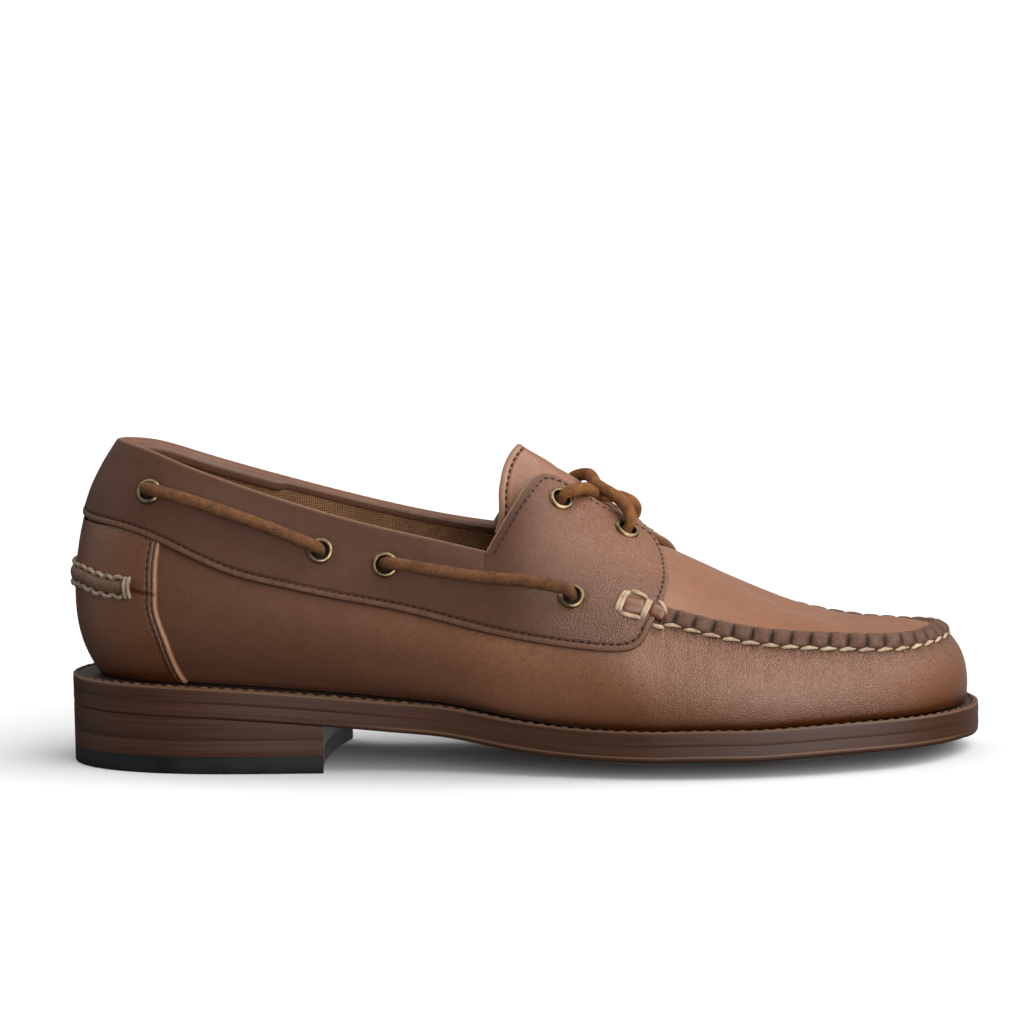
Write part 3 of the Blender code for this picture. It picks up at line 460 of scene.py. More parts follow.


# ------------------------------------------------------------------ Heel
# Two leather lifts and a moulded rubber top lift, nailed and cemented under the heel and trimmed
# flush with the sole. The front of the heel, its breast, is hollowed, and its face is painted dark
# as shade under the arch.

TOP_LIFT = 5.7  # top of the rubber
LOWER_LIFT = 11.2  # top of the lower leather lift
LIFT_GAP = 0.02  # under each leather layer
BREAST_CORNERS = (3.08, 3.14)  # stations of the outer and the inner corner
BREAST_HOLLOW = 3.0
SIDE_POINTS = 90  # of the plan, on each side


def heel_plan():
    """Outline of the heel: outer corner, round the back, inner corner, across the breast."""
    outer_side = np.linspace(BREAST_CORNERS[0], 0, SIDE_POINTS, endpoint=False)
    inner_side = AROUND - np.linspace(0, BREAST_CORNERS[1], SIDE_POINTS)
    edge = outline_at(np.concatenate([outer_side, inner_side]))
    share = np.linspace(0, 1, 30, endpoint=False)[1:, None]
    breast = edge[-1] * (1 - share) + edge[0] * share
    breast[:, 0] -= BREAST_HOLLOW * 4 * share[:, 0] * (1 - share[:, 0])
    return np.concatenate([edge, breast])


def inset_plan(plan, inset):
    """The outline moved in by an inset, with mitred corners."""
    after = np.roll(plan, -1, axis=0) - plan
    normal = unit(np.column_stack([-after[:, 1], after[:, 0]]))
    before = np.roll(normal, 1, axis=0)
    mitre = (normal + before) / (1 + (normal * before).sum(1))[:, None]
    return plan - inset * mitre


def add_lift(name, low, high_at, finish, slot, round_low):
    """One layer of the heel, with its edges a little rounded."""
    plan = heel_plan()
    rings = []
    section = [
        # inset (None for a ring at half size), share of the height, rise
        (None, 0, 0), (1.2, 0, 0), (round_low, 0, 0), (round_low * 0.3, 0, round_low * 0.3),
        (0, 0, round_low), (0, 0.5, 0), (0, 1, -0.10), (0.01, 1, -0.03), (0.05, 1, 0),
        (1.2, 1, 0), (None, 1, 0),
    ]
    for inset, share, rise in section:
        ring = (plan + plan.mean(0)) / 2 if inset is None else inset_plan(plan, inset)
        height = low + share * (high_at(*ring.T) - low) + rise
        rings.append(np.column_stack([ring, height]))
    rings = np.stack(rings, axis=1)
    count, rows = rings.shape[:2]
    faces = [tuple(face[::-1]) for face in sheet_faces(count, rows, closed=True)]
    faces.append(tuple(range(count * rows - rows, -1, -rows)))
    faces.append(tuple(range(rows - 1, count * rows, rows)))
    deep = np.zeros((count, rows))
    deep[:, 7:9] = 0.04  # the line where two layers meet
    # the breast's face is painted dark as shade under the arch
    deep[2 * SIDE_POINTS + 1 :] = 0.75  # the breast
    marks = {"level": (rings[..., 2] + 40) * 0.001, "pale": 0.0, "deep": deep}
    marks = marks if slot == "sole_edge" else None
    piece = add_piece("shaped_" + name, rings, faces, finish, slot, [name], marks)
    piece.data.set_sharp_from_angle(angle=math.radians(50))


def level(height):
    return lambda x, y: np.full(np.shape(x), height)


def under_the_sole(x, y):
    return underside(x, y) - LIFT_GAP


rubber, tree, shader = new_finish("moulded rubber", 0.55, Specular_IOR_Level=0.25)
place = place_of(tree)
dust = noise_of(tree, place, 90, 5.0)
stipple = noise_of(tree, place, 1600, 2.0)
share = ramp(tree, dust, 0.4, 0.75)
colour = tint(tree, share, (0.004, 0.0048, 0.0052), (0.010, 0.0115, 0.0115))
gloss = ramp(tree, dust, 0.3, 0.7, 0.48, 0.66)
coat(tree, shader, colour, [(stipple, 0.4, 0.0001)], gloss)

for name, low, high_at, finish, slot, round_low in (
    ("top_lift", 0.0, level(TOP_LIFT), rubber, "rubber", 0.5),
    ("heel_lift_lower", TOP_LIFT + LIFT_GAP, level(LOWER_LIFT), sole_edge_finish, "sole_edge", 0.1),
    ("heel_lift_upper", LOWER_LIFT + LIFT_GAP, under_the_sole, sole_edge_finish, "sole_edge", 0.1),
):
    add_lift(name, low, high_at, finish, slot, round_low)


# ------------------------------------------------------------------ Upper: the last's shape
# The wall is one piece of waxed calf, wet-shaped round the last and tucked in under the foot.
# Ribs up each side of the last give its shape; the wall is their part below the shoulder.

OUTER_RIBS = [
    # ledge, foot lean, shoulder x, y, z, low lean, high lean, top x, y, z, top lean
    (11.0, -36, 0.4, 0.0, 60.0, 2, 4, 16.5, 0.0, 107.0, 36),
    (8.8, -34, 10.4, -21.2, 61.0, 3, 5, 26.5, -12.5, 105.3, 28),
    (6.5, -26, 43.0, -32.5, 65.0, 10, 10, 46.0, -21.0, 98.4, 22),
    (6.0, -22, 84.0, -35.5, 60.0, 14, 14, 86.0, -27.0, 85.8, 16),
    (6.0, -20, 118.0, -37.0, 56.0, 18, 18, 118.0, -29.5, 77.8, 20),
    (6.0, -20, 137.5, -38.5, 56.0, 24, 24, 138.2, -30.0, 72.8, 26),
    (6.0, -20, 148.0, -39.0, 57.0, 28, 28, 148.0, -21.5, 89.0, 34),
    (6.0, -20, 159.0, -39.5, 57.5, 32, 32, 157.0, -12.5, 95.4, 50),
    (6.0, -20, 174.0, -40.0, 57.5, 36, 38, 173.0, -9.5, 85.6, 60),
    (6.0, -20, 186.5, -39.5, 56.0, 38, 46, 186.5, -8.0, 77.2, 70),
    (6.0, -20, 198.5, -38.5, 53.5, 36, 56, 197.0, 1.0, 68.3, 85),
    (5.5, -20, 224.0, -38.0, 47.5, 30, 66, 217.0, 3.0, 57.1, 88),
    (5.5, -18, 252.5, -32.0, 44.2, 28, 74, 240.0, 5.0, 46.9, 88),
    (4.7, -14, 274.8, -19.5, 42.1, 38, 78, 257.0, 6.5, 44.3, 88),
    (4.0, -8, 285.4, 6.0, 41.4, 60, 80, 267.0, 7.0, 43.8, 88),
]
INNER_RIBS = [
    # ledge, foot lean, shoulder x, y, z, low lean, high lean, top x, y, z, top lean
    OUTER_RIBS[0],
    (8.8, -34, 10.4, 21.6, 61.0, 3, 5, 26.5, 13.5, 104.6, 28),
    (6.5, -26, 43.0, 32.0, 65.0, 10, 10, 46.0, 23.0, 97.0, 22),
    (6.0, -22, 86.0, 33.5, 60.0, 12, 12, 87.0, 28.0, 84.6, 16),
    (6.0, -34, 118.0, 34.0, 58.0, 12, 12, 118.0, 30.0, 76.9, 18),
    (6.0, -32, 137.5, 35.0, 58.0, 16, 16, 137.0, 30.0, 73.6, 24),
    (6.0, -28, 148.0, 36.0, 59.0, 20, 20, 147.5, 24.0, 89.0, 34),
    (6.0, -26, 159.0, 37.5, 60.0, 26, 26, 157.0, 15.0, 93.6, 50),
    (6.0, -22, 174.0, 39.5, 60.0, 32, 36, 173.0, 12.0, 83.6, 60),
    (6.0, -20, 187.0, 40.5, 57.5, 36, 46, 186.5, 10.0, 74.4, 70),
    (6.0, -18, 200.0, 41.0, 54.0, 34, 56, 197.0, 1.0, 68.3, 85),
    (5.5, -16, 226.0, 41.0, 45.9, 28, 66, 217.0, 3.0, 57.1, 88),
    (5.5, -14, 254.0, 35.5, 40.2, 26, 74, 240.0, 5.0, 46.9, 88),
    (4.7, -12, 276.5, 23.5, 39.9, 38, 78, 257.0, 6.5, 44.3, 88),
    OUTER_RIBS[-1],
]
DIP = 5  # station of the corner between collar and wing
PLUG_START = 10  # from here the two sides share the plug's ridge

rib_at = round_curve(both_sides([r[:7] for r in OUTER_RIBS], [r[:7] for r in INNER_RIBS]))
collar_at = open_curve(
    range(-DIP, DIP + 1),
    [INNER_RIBS[k][7:] for k in range(DIP, 0, -1)] + [OUTER_RIBS[k][7:] for k in range(DIP + 1)],
)
wing_range = range(DIP, PLUG_START + 1)
outer_wing_at = open_curve(wing_range, [OUTER_RIBS[k][7:] for k in wing_range])
inner_wing_at = open_curve(wing_range, [INNER_RIBS[k][7:] for k in wing_range])
ridge_range = range(PLUG_START, TOE + 1)
ridge_at = open_curve(ridge_range, [OUTER_RIBS[k][7:] for k in ridge_range])


def signed_station(station):
    station = np.asarray(station, float) % AROUND
    return np.where(station > TOE, station - AROUND, station)


def top_at(station):
    """x, y, z and lean of the rib tops."""
    side = signed_station(station)
    from_heel = np.abs(side)
    wing = np.where((side > 0)[:, None], outer_wing_at(from_heel), inner_wing_at(from_heel))
    rear = np.where((from_heel <= DIP)[:, None], collar_at(side), wing)
    return np.where((from_heel < PLUG_START)[:, None], rear, ridge_at(from_heel))


def bezier(start, first, second, end, u):
    u = u[:, None]
    value = (1 - u) ** 3 * start + 3 * u * (1 - u) ** 2 * first
    return value + 3 * u * u * (1 - u) * second + u**3 * end


def leaning(degrees, inward):
    """Unit vector that rises while leaning in by the angle."""
    angle = np.radians(degrees)
    return np.column_stack([inward * np.sin(angle)[:, None], np.cos(angle)])


def outside(station, height):
    """Points on the outside of the upper."""
    station, height = np.broadcast_arrays(station, height)
    shape = station.shape
    station = station.ravel() % AROUND
    height = height.ravel()
    rib, top_row, inward = rib_at(station), top_at(station), -outward_at(station)
    foot = outline_at(station) + inward * rib[:, :1]
    foot = np.column_stack([foot, underside(*foot.T) + SOLE_THICKNESS + GAP])
    shoulder, top = rib[:, 2:5], top_row[:, :3]
    across = unit(top[:, :2] - shoulder[:, :2])
    share = smooth(np.abs(signed_station(station)), 5, 8)[:, None]
    top_inward = unit(inward * (1 - share) + across * share)
    low = 0.38 * np.linalg.norm(shoulder - foot, axis=1)[:, None]
    high = 0.38 * np.linalg.norm(top - shoulder, axis=1)[:, None]
    wall = bezier(
        foot,
        foot + low * leaning(rib[:, 1], inward),
        shoulder - low * leaning(rib[:, 5], inward),
        shoulder,
        np.clip(height, 0, 1),
    )
    crown = bezier(
        shoulder,
        shoulder + high * leaning(rib[:, 6], top_inward),
        top - high * leaning(top_row[:, 3], top_inward),
        top,
        np.clip(height - 1, 0, 1),
    )
    points = np.where((height <= 1)[:, None], wall, crown)
    return points.reshape(shape + (3,))


def outward_normal(station, height):
    """Unit normals of the upper's outside."""
    step = 0.02
    lower = np.clip(np.asarray(height) - step, 0, 2)
    upper = np.clip(np.asarray(height) + step, 0, 2)
    along = outside(station + step, height) - outside(station - step, height)
    up = outside(station, upper) - outside(station, lower)
    return unit(np.cross(along, up))


def lifted(station, height, lift):
    """Points at a distance outside the upper, or inside it where the lift is negative."""
    station, height, lift = np.broadcast_arrays(station, height, lift)
    return outside(station, height) + lift[..., None] * outward_normal(station, height)


def rib_speed(station, height):
    """Millimetres along a rib for each unit of height."""
    upper = np.clip(height + 0.01, 0, 2)
    lower = np.clip(height - 0.01, 0, 2)
    length = np.linalg.norm(outside(station, upper) - outside(station, lower), axis=-1)
    return length / (upper - lower)


def near_shoulder(station, distance):
    """Height at a distance in millimetres above the shoulder, or below it if negative."""
    return 1 + distance / rib_speed(station, 0.97 if distance < 0 else 1.03)


def fine_places(places, count=600):
    """Many places on a smooth line through a few."""
    places = np.asarray(places, float)
    run = run_along(outside(*places.T))
    return open_curve(run, places)(np.linspace(0, run[-1], count))


def surface_line(places, lift=0.0, step=0.3):
    """A smooth line through places on the upper, and the upper's normals along it."""
    fine = fine_places(places)
    run = run_along(outside(*fine.T))
    at = np.linspace(0, run[-1], max(int(run[-1] / step), 2) + 1)
    stations = np.interp(at, run, fine[:, 0])
    heights = np.interp(at, run, fine[:, 1])
    normals = outward_normal(stations, heights)
    return outside(stations, heights) + lift * normals, normals


def distance_to(points, line):
    """How far each point is from a line."""
    tree = KDTree(len(line))
    for k, place in enumerate(line):
        tree.insert(place, k)
    tree.balance()
    distances = [tree.find(point)[2] for point in points.reshape(-1, 3)]
    return np.array(distances).reshape(points.shape[:-1])


def waxed_calf(name, colour, deep, worn, satin=0.40, grain=1.0, pulled=False):
    """Waxed calf leather: cloudy brown over a fine pebbled grain.

    The marks on a piece say where it is darkened, by burnishing and as painted shade in grooves,
    creases and low faces, where it is rubbed pale or matt, and where its grain is broken into
    pebbles.
    """
    material, tree, shader = new_finish(name, satin, Specular_IOR_Level=0.55)
    where = place_of(tree)
    cloud = noise_of(tree, where, 26, 3.0)
    mottle = noise_of(tree, where, 190, 4.0, 0.6)
    pores = noise_of(tree, where, 2300, 2.0, 0.6)
    speckle = noise_of(tree, where, 1250, 2.0, 0.6)
    drift = arithmetic(tree, "MULTIPLY", noise_of(tree, where, 420, 2.0), 0.0006)
    bent = put(tree, "ShaderNodeVectorMath", {0: where, 1: drift}, operation="ADD").outputs[0]
    inputs = {"Vector": bent, "Scale": 1350.0}
    cells = put(tree, "ShaderNodeTexVoronoi", inputs, feature="DISTANCE_TO_EDGE")
    pebble = ramp(tree, cells.outputs["Distance"], 0.0, 0.32)
    broken = mark_of(tree, "pebble")
    steps = [
        (cloud, 0.32, 0.68, 0.34, deep),
        (mottle, 0.4, 0.7, 0.20, deep),
        (mottle, 0.55, 0.3, 0.08, worn),
        (speckle, 0.50, 0.66, 0.5, deep),
        (speckle, 0.48, 0.34, 0.2, worn),
    ]
    tone = clouded(tree, colour, steps)
    valley = arithmetic(tree, "MULTIPLY", ramp(tree, pebble, 0.0, 0.8, 0.85, 0.0), broken)
    tone = tint(tree, valley, tone, deep)
    # Tone of the deep mark: burnishing and painted shade, its green and blue cut to offset the grey
    # sheen
    burnish_and_shade_tone = [part * share for part, share in zip(deep, (0.42, 0.27, 0.04))]
    tone = tint(tree, mark_of(tree, "deep"), tone, burnish_and_shade_tone)
    tone = tint(tree, mark_of(tree, "worn"), tone, worn)
    gloss = ramp(tree, mottle, 0.3, 0.7, satin - 0.04, satin + 0.06)
    dull = arithmetic(tree, "MULTIPLY", mark_of(tree, "matt"), 0.4)
    layers = [
        (pores, 0.28 * grain, 0.00012),
        (pebble, arithmetic(tree, "MULTIPLY", broken, 0.95 * grain), 0.00018),
        (noise_of(tree, where, 70, 3.0), 0.22, 0.0012),
    ]
    if pulled:
        run = arithmetic(tree, "MULTIPLY", mark_of(tree, "run"), 0.62)
        drop = arithmetic(tree, "MULTIPLY", mark_of(tree, "drop"), 0.07)
        folds = put(tree, "ShaderNodeCombineXYZ", {0: run, 1: drop}).outputs[0]
        layers.append((noise_of(tree, folds, 1.0, 3.0, 0.7), mark_of(tree, "pull"), 0.0019))
    coat(tree, shader, tone, layers, arithmetic(tree, "ADD", gloss, dull))
    return material


TAN_EDGE = (0.30, 0.165, 0.095)
wall_calf = waxed_calf(
    "wall calf", (0.290, 0.117, 0.052), (0.135, 0.051, 0.021), TAN_EDGE, 0.35, pulled=True
)

SEAM_FROM = 9.66  # station where the seam of the plug starts
THREAD_BELOW = 4.3  # thread line of that seam, below the shoulder
PITCH = 6.35  # of its gathers
seam_stations = np.linspace(SEAM_FROM, AROUND - SEAM_FROM, 1500)
seam_run = run_along(outside(seam_stations, 1.0))
GATHERS = int(round(seam_run[-1] / PITCH))


def phase_at(station):
    """Count of gathers from the seam's outer end."""
    run = np.interp(np.asarray(station, float) % AROUND, seam_stations, seam_run)
    return run / seam_run[-1] * GATHERS


WALL_ROWS = 72
stations = (np.arange(AROUND * 28) / 28)[:, None]
from_heel = np.abs(signed_station(stations))
front = smooth(from_heel, 9.45, 9.75)
top = 1.5 * (1 - front) + near_shoulder(stations, -3.8) * front
heights = top * np.linspace(0, 1, WALL_ROWS) ** 0.9
speed = rib_speed(stations, 0.9)
drop = (near_shoulder(stations, -THREAD_BELOW) - heights) * speed
below = np.clip(drop, 0, None)
climb = heights * speed
phase = phase_at(stations)
gather_depth = 0.75 + 0.5 * np.random.default_rng(7).random(GATHERS + 1)
depth = gather_depth[np.clip(np.round(phase).astype(int), 0, GATHERS)]
pucker = (0.5 + 0.5 * np.cos(2 * math.pi * phase)) ** 2
near = np.exp(-below / 3.2) * front
lift = -0.40 * depth * pucker * near
lift += 0.10 * np.sin(2 * math.pi * phase * 3 + 1.7 * np.sin(phase * 2.3)) * near
lift += 0.15 * np.sin(2 * math.pi * phase + 2.0) * np.exp(-below / 9) * front
lift -= 0.7 * np.exp(-climb / 1.0)
lift += 0.10 * np.sin(stations * 2.1 + 3 * heights) * smooth(climb, 3, 10) * (1 - front)
points = lifted(stations, heights, lift)
# deep: painted shade at the wall's foot, on its lower faces, in the gathers' puckers and under the
# seam's lip; also darker towards the heel and at the toe tip
deep = (
    0.85 * np.exp(-climb / 2.2)
    + (0.34 + 0.34 * smooth(from_heel, 5, 8)) * np.exp(-climb / 13)
    + 0.45 * near * pucker
    + (0.25 * np.exp(-below / 1.6) + 0.22 * np.exp(-below / 6)) * front
    + 0.78 * (1 - smooth(from_heel, 2.0, 6.8))
    + 0.16 * smooth(from_heel, 12.6, 13.8)
)
marks = {
    "deep": np.clip(deep, 0, 1),
    "matt": 1 - smooth(from_heel, 5, 10),
    "pebble": 0.15 + smooth(from_heel, 7, 10) * (0.15 + 0.7 * np.exp(-below / 11)),
    "run": phase * PITCH,
    "drop": drop,
    "pull": 0.85 * np.exp(-below / 4.0) * front,
}
faces = sheet_faces(*points.shape[:2], closed=True)
add_piece("upper_wall", points, faces, wall_calf, "wall", ["upper"], marks)


# ------------------------------------------------------------------ Insole sock
# A thin leather sock, cemented over the midsole inside the shoe and skived at its edge.

sock_leather = waxed_calf(
    "sock leather", (0.24, 0.115, 0.058), (0.14, 0.062, 0.031), TAN_EDGE, 0.5, 0.6
)
SOCK_INSET = 2.6  # from the foot of the wall
SOCK_WIDTH = 60
SOCK_THICKNESS = 1.6
SOCK_RISE = 12.7  # its top at the edge, over the underside of the sole
sock_stations = np.linspace(0.02, TOE - 0.02, 240)
outer, inner = [
    outline_at(edge) - outward_at(edge) * (rib_at(edge)[:, :1] + SOCK_INSET)
    for edge in (sock_stations, AROUND - sock_stations)
]
share = np.linspace(0, 1, 60)[None, :, None]
plan = outer[:, None] * (1 - share) + inner[:, None] * share
edge = np.minimum(share[..., 0], 1 - share[..., 0]) * SOCK_WIDTH
rise = SOCK_RISE + 0.9 * (1 - smooth(edge, 0, 14)) - 0.5 * (1 - smooth(edge, 0, 1.5))
points = np.dstack([plan, underside(plan[..., 0], plan[..., 1]) + rise])
under = points - [0, 0, SOCK_THICKNESS]
points = np.concatenate([points, under[:, ::-1]], axis=1)
add_piece("insole_sock", points, sheet_faces(*points.shape[:2]), sock_leather, "sock", ["insole"])


# ------------------------------------------------------------------ Plug and tongue
# The plug over the toes runs back under the wings and arches up across the throat as the tongue.
# Its rear end is turned under and sewn down 2.5 mm from the fold.

plug_calf = waxed_calf(
    "plug calf", (0.262, 0.108, 0.051), (0.160, 0.062, 0.028), TAN_EDGE, 0.44, 0.8
)
TONGUE_DEPTH = 3.2  # under the wings
TONGUE_SIDE = 1.60  # height of its side edge
TONGUE_BEND = 1.92  # height where it starts to arch over the throat
ARCH_STATIONS = (7.2, 7.8, 8.4, 9.0, 9.6)
ARCHES = (0.66, 0.74, 0.60, 0.42, 0.36)  # fullness of the tongue's arch at those stations
TONGUE_RISE = np.array([-10.0, 0.0, 6.2])  # from station 7.2 to the rear edge, at the middle
TONGUE_SWEEP = np.array([-19.5, 1.8, -1.2])  # the same at the outer side edge
TONGUE_HUMP = 3.9  # how far the rear edge swells between its middle and its sides
FOLD = 0.7  # radius of the turned edge
SEWN_FROM_FOLD = 2.5
FAR = 99  # from the edge, where its fold and row of stitches don't reach
across = np.linspace(-1, 1, 201)


def vamp_section(station):
    """Points across the plug or tongue, from the outer side to the inner side."""
    covered = float(1 - smooth(station, 9.35, 9.9))
    start = float(near_shoulder(np.array([station]), 1.4)[0])
    start = start * (1 - covered) + TONGUE_SIDE * covered
    climb = start + (TONGUE_BEND - start) * (across[across <= -0.5] + 1) * 2
    outer = lifted(station, climb, -TONGUE_DEPTH * covered)
    inner = lifted(AROUND - station, climb, -TONGUE_DEPTH * covered)
    arch = np.interp(station, ARCH_STATIONS, ARCHES)
    reach = arch * np.linalg.norm(inner[-1] - outer[-1])
    chord = TONGUE_BEND - 0.005 - 0.10 * covered
    ways = [
        side[-1] - lifted([place], [chord], -TONGUE_DEPTH * covered)[0]
        for side, place in ((outer, station), (inner, AROUND - station))
    ]
    first, second = [
        side[-1] + reach * way / max(np.linalg.norm(way), 1e-9)
        for side, way in zip((outer, inner), ways)
    ]
    u = across[np.abs(across) < 0.499] + 0.5
    middle = bezier(outer[-1], first, second, inner[-1], u)
    return np.concatenate([outer, middle, inner[::-1]])


vamp_stations = np.concatenate([np.arange(13.98, 10.2, -0.05), np.arange(10.2, 7.19, -0.04)])
sections = [vamp_section(14 - 1e-4)] + [vamp_section(station) for station in vamp_stations]
last = sections[-1]
beside = across[:, None] ** 2
sweep = np.where(last[:, 1:2] > 0, [1, -1, 1], [1, 1, 1]) * TONGUE_SWEEP
rearward = TONGUE_RISE * (1 - beside) + sweep * beside
rearward[:, 0] -= TONGUE_HUMP * np.sin(math.pi * across) ** 2
reach = np.linalg.norm(rearward, axis=1)[:, None]
rearward = rearward / reach
reach = reach - FOLD
sections += [last + rearward * reach * step / 40 for step in range(1, 41)]
front = np.array(sections)
normals = np.cross(np.gradient(front, axis=1), np.gradient(front, axis=0))
normals /= np.maximum(np.linalg.norm(normals, axis=-1), 1e-9)[..., None]
from_edge = np.linalg.norm(front - front[-1], axis=-1)
from_edge[: len(vamp_stations) - 40] = FAR
ease = -0.32 * bell(from_edge, 1.8, 0.4) - 0.10 * smooth(from_edge, 2.2, 4.2)
ease += 0.22 * bell(from_edge, 0.5, 0.7)
cockle = 0.22 * np.sin(front[..., 0] * 0.21 + front[..., 1] * 0.13)
cockle = cockle * np.sin(front[..., 1] * 0.11 + 1)
front = front + normals * (ease * (from_edge < FAR) + cockle)[..., None]
edge_way = unit(front[-1] - front[-3])
turn = np.linspace(0, math.pi, 9)[1:, None, None]
fold = front[-1] + edge_way * FOLD * np.sin(turn) - normals[-1] * FOLD * (1 - np.cos(turn))
back = (front - normals * 2 * FOLD)[-2:95:-2]
points = np.concatenate([front, fold, back])
worn = np.zeros(points.shape[:2])
worn[: len(front)] = 0.35 * (1 - smooth(from_edge, 1.1, 1.5)) * (from_edge < FAR)
worn[len(front) : len(front) + 3] = 0.3
# deep: painted shade in the groove behind the turned edge and on the turned-under back
deep = np.zeros(points.shape[:2])
deep[: len(front)] = 0.65 * bell(from_edge, 1.75, 0.35) * (from_edge < FAR)
deep[len(front) + 5 :] = 0.35
add_piece(
    "plug_and_tongue",
    points,
    sheet_faces(*points.shape[:2])[:, ::-1],
    plug_calf,
    "plug",
    ["plug", "tongue"],
    {"worn": worn, "deep": deep, "pebble": 0.12},
)
dark_thread = spun_thread("dark thread", (0.050, 0.020, 0.010), (0.018, 0.007, 0.004), 0.8)
ups = normals[-8]
row = (last + rearward * (reach + FOLD - SEWN_FROM_FOLD) - ups * 0.15)[14:-14]
line, _ = even_line(row, 0.5)
outs = line_at(np.linspace(0, 1, len(line)), np.linspace(0, 1, len(row)), ups[14:-14])
row = stitch_row(line, outs, pitch=2.5, length=1.8, width=0.62, sink=0.25)
add_piece("tongue_stitches", *row, dark_thread, "plug")


# ------------------------------------------------------------------ Gathered seam of the plug
# The wall's top edge stands up in a lip round the plug, gathered by a hand-sewn waxed thread. The
# thread draws a groove between each gather and the next, and shows as a slanted stitch below it.

lip_calf = waxed_calf(
    "gathered lip calf", (0.104, 0.035, 0.012), (0.047, 0.015, 0.005), TAN_EDGE, 0.70
)
lip_stations = np.interp(
    np.arange(0.32, GATHERS - 0.3, 1 / 20), phase_at(seam_stations), seam_stations
)
corner = outside(lip_stations, 1.0)
down = unit(outside(lip_stations, 0.98) - corner)
inward = unit(outside(lip_stations, 1.02) - corner)
out_below = outward_normal(lip_stations, 0.97)
out_above = outward_normal(lip_stations, 1.03)
LIP_SECTION = [
    # down the wall, out of the wall, in over the plug, out of the plug, share that gathers
    (4.9, -0.35, 0.0, 0.0, 0.0),
    (4.55, 0.25, 0.0, 0.0, 0.5),
    (4.15, 0.85, 0.0, 0.0, 0.8),
    (3.5, 1.25, 0.0, 0.0, 1.0),
    (2.7, 1.45, 0.0, 0.0, 1.0),
    (1.8, 1.5, 0.0, 0.0, 1.0),
    (0.9, 1.35, 0.0, 0.2, 0.8),
    (0.2, 0.95, 0.1, 0.65, 0.6),
    (0.0, 0.45, 0.5, 1.0, 0.45),
    (0.0, 0.1, 1.1, 0.95, 0.4),
    (0.0, 0.0, 1.7, 0.55, 0.4),
    (0.0, 0.0, 2.1, 0.05, 0.3),
    (0.0, 0.0, 2.5, -0.5, 0.0),
]
lip_phase = phase_at(lip_stations)
ends = smooth(lip_phase, 0.3, 0.6) * (1 - smooth(lip_phase, GATHERS - 0.6, GATHERS - 0.3))
rows, deep, worn = [], [], []
for below, out, over, up, share in LIP_SECTION:
    slant = 0.05 * (below - 2.2)
    distance = np.abs(((lip_phase + slant + 0.5) % 1) - 0.5)
    groove = bell(distance, 0, 0.075) + 0.35 * bell(distance, 0, 0.2)
    swell = 0.12 * np.cos(2 * math.pi * (lip_phase + slant)) + 0.10 * np.sin(lip_phase * 2.7)
    fullness = (1 - share * (0.62 * groove + swell * 0.8)) * (0.35 + 0.65 * ends)
    rise = (out * out_below + up * out_above) * fullness[:, None]
    rows.append(corner + below * down + over * inward + rise)
    # deep: painted shade in the grooves between gathers and at the lip's foot on the wall
    deep.append(np.clip(share * groove + 0.25 * (below > 4), 0, 1))
    worn.append(0.16 * (0.3 < over < 1.5) * (1 - np.clip(groove, 0, 1)))
points = np.stack(rows, axis=1)
faces = sheet_faces(*points.shape[:2])
marks = {"deep": np.stack(deep, axis=1), "worn": np.stack(worn, axis=1), "pebble": 0.3}
add_piece("gathered_lip", points, faces, lip_calf, "wall", ["moc_roll"], marks)

cream_thread = spun_thread("cream thread", (0.52, 0.39, 0.26), (0.30, 0.205, 0.13), 0.7)


def sewn_lozenges(centres, ways, outs, length, width, lean, lift):
    """Waxed stitches with thick middles and pointed ends, bedded in the leather at both ends."""
    turn = np.arange(11) * math.pi / 5
    reach = np.linspace(-1, 1, 13)
    girth = np.sqrt(np.clip(1 - np.abs(reach) ** 3.4, 0.002, 1))
    parts = []
    for centre, way, out in zip(centres, ways, outs):
        side = np.cross(out, way)
        way = unit(way * math.cos(lean) + side * math.sin(lean))
        side = np.cross(out, way)
        bend = out * lift - np.abs(reach[:, None]) ** 2.5 * out * (width * 0.42)
        middle = centre + way * (reach * length / 2)[:, None] + bend
        twist = 1 + 0.06 * np.sin(reach[:, None] * 9 + turn[None, :] * 2)
        ring = np.cos(turn)[:, None] * side * 0.62 + np.sin(turn)[:, None] * out * 0.45
        body = middle[:, None] + ring[None] * (girth[:, None] * twist * width)[..., None]
        parts.append((body, sheet_faces(len(reach), len(turn))))
    return joined(parts)


def seam_thread(counts, distance, length, width, lean, lift):
    """Stitches at counts of gathers along the seam, at a distance above the shoulder."""
    holes = np.interp(counts, phase_at(seam_stations), seam_stations)
    heights = near_shoulder(holes, distance)
    centres = outside(holes, heights)
    ahead = holes + 0.02
    ways = unit(outside(ahead, near_shoulder(ahead, distance)) - centres)
    outs = outward_normal(holes, heights)
    return sewn_lozenges(centres, ways, outs, length, width, lean, lift)


counts = np.arange(1, GATHERS)
row = seam_thread(counts, -THREAD_BELOW - 0.15, length=7.0, width=1.12, lean=0.13, lift=0.45)
add_piece("plug_seam_stitches", *row, cream_thread, "wall")
tan_thread = spun_thread("tan thread", (0.24, 0.145, 0.085), (0.12, 0.066, 0.038))
row = seam_thread(counts + 0.5, 2.35, length=3.0, width=0.6, lean=0.1, lift=0.05)
add_piece("plug_seam_inner_stitches", *row, tan_thread, "wall")


# ------------------------------------------------------------------ Heel panel
# A panel of calf wraps the back of the shoe. It is pieced across the middle, where a raised roll
# with overcast thread covers the join, and its front edges are turned in pale and sewn down.

band_calf = waxed_calf(
    "band calf", (0.275, 0.112, 0.052), (0.130, 0.049, 0.022), (0.27, 0.14, 0.075), 0.35
)


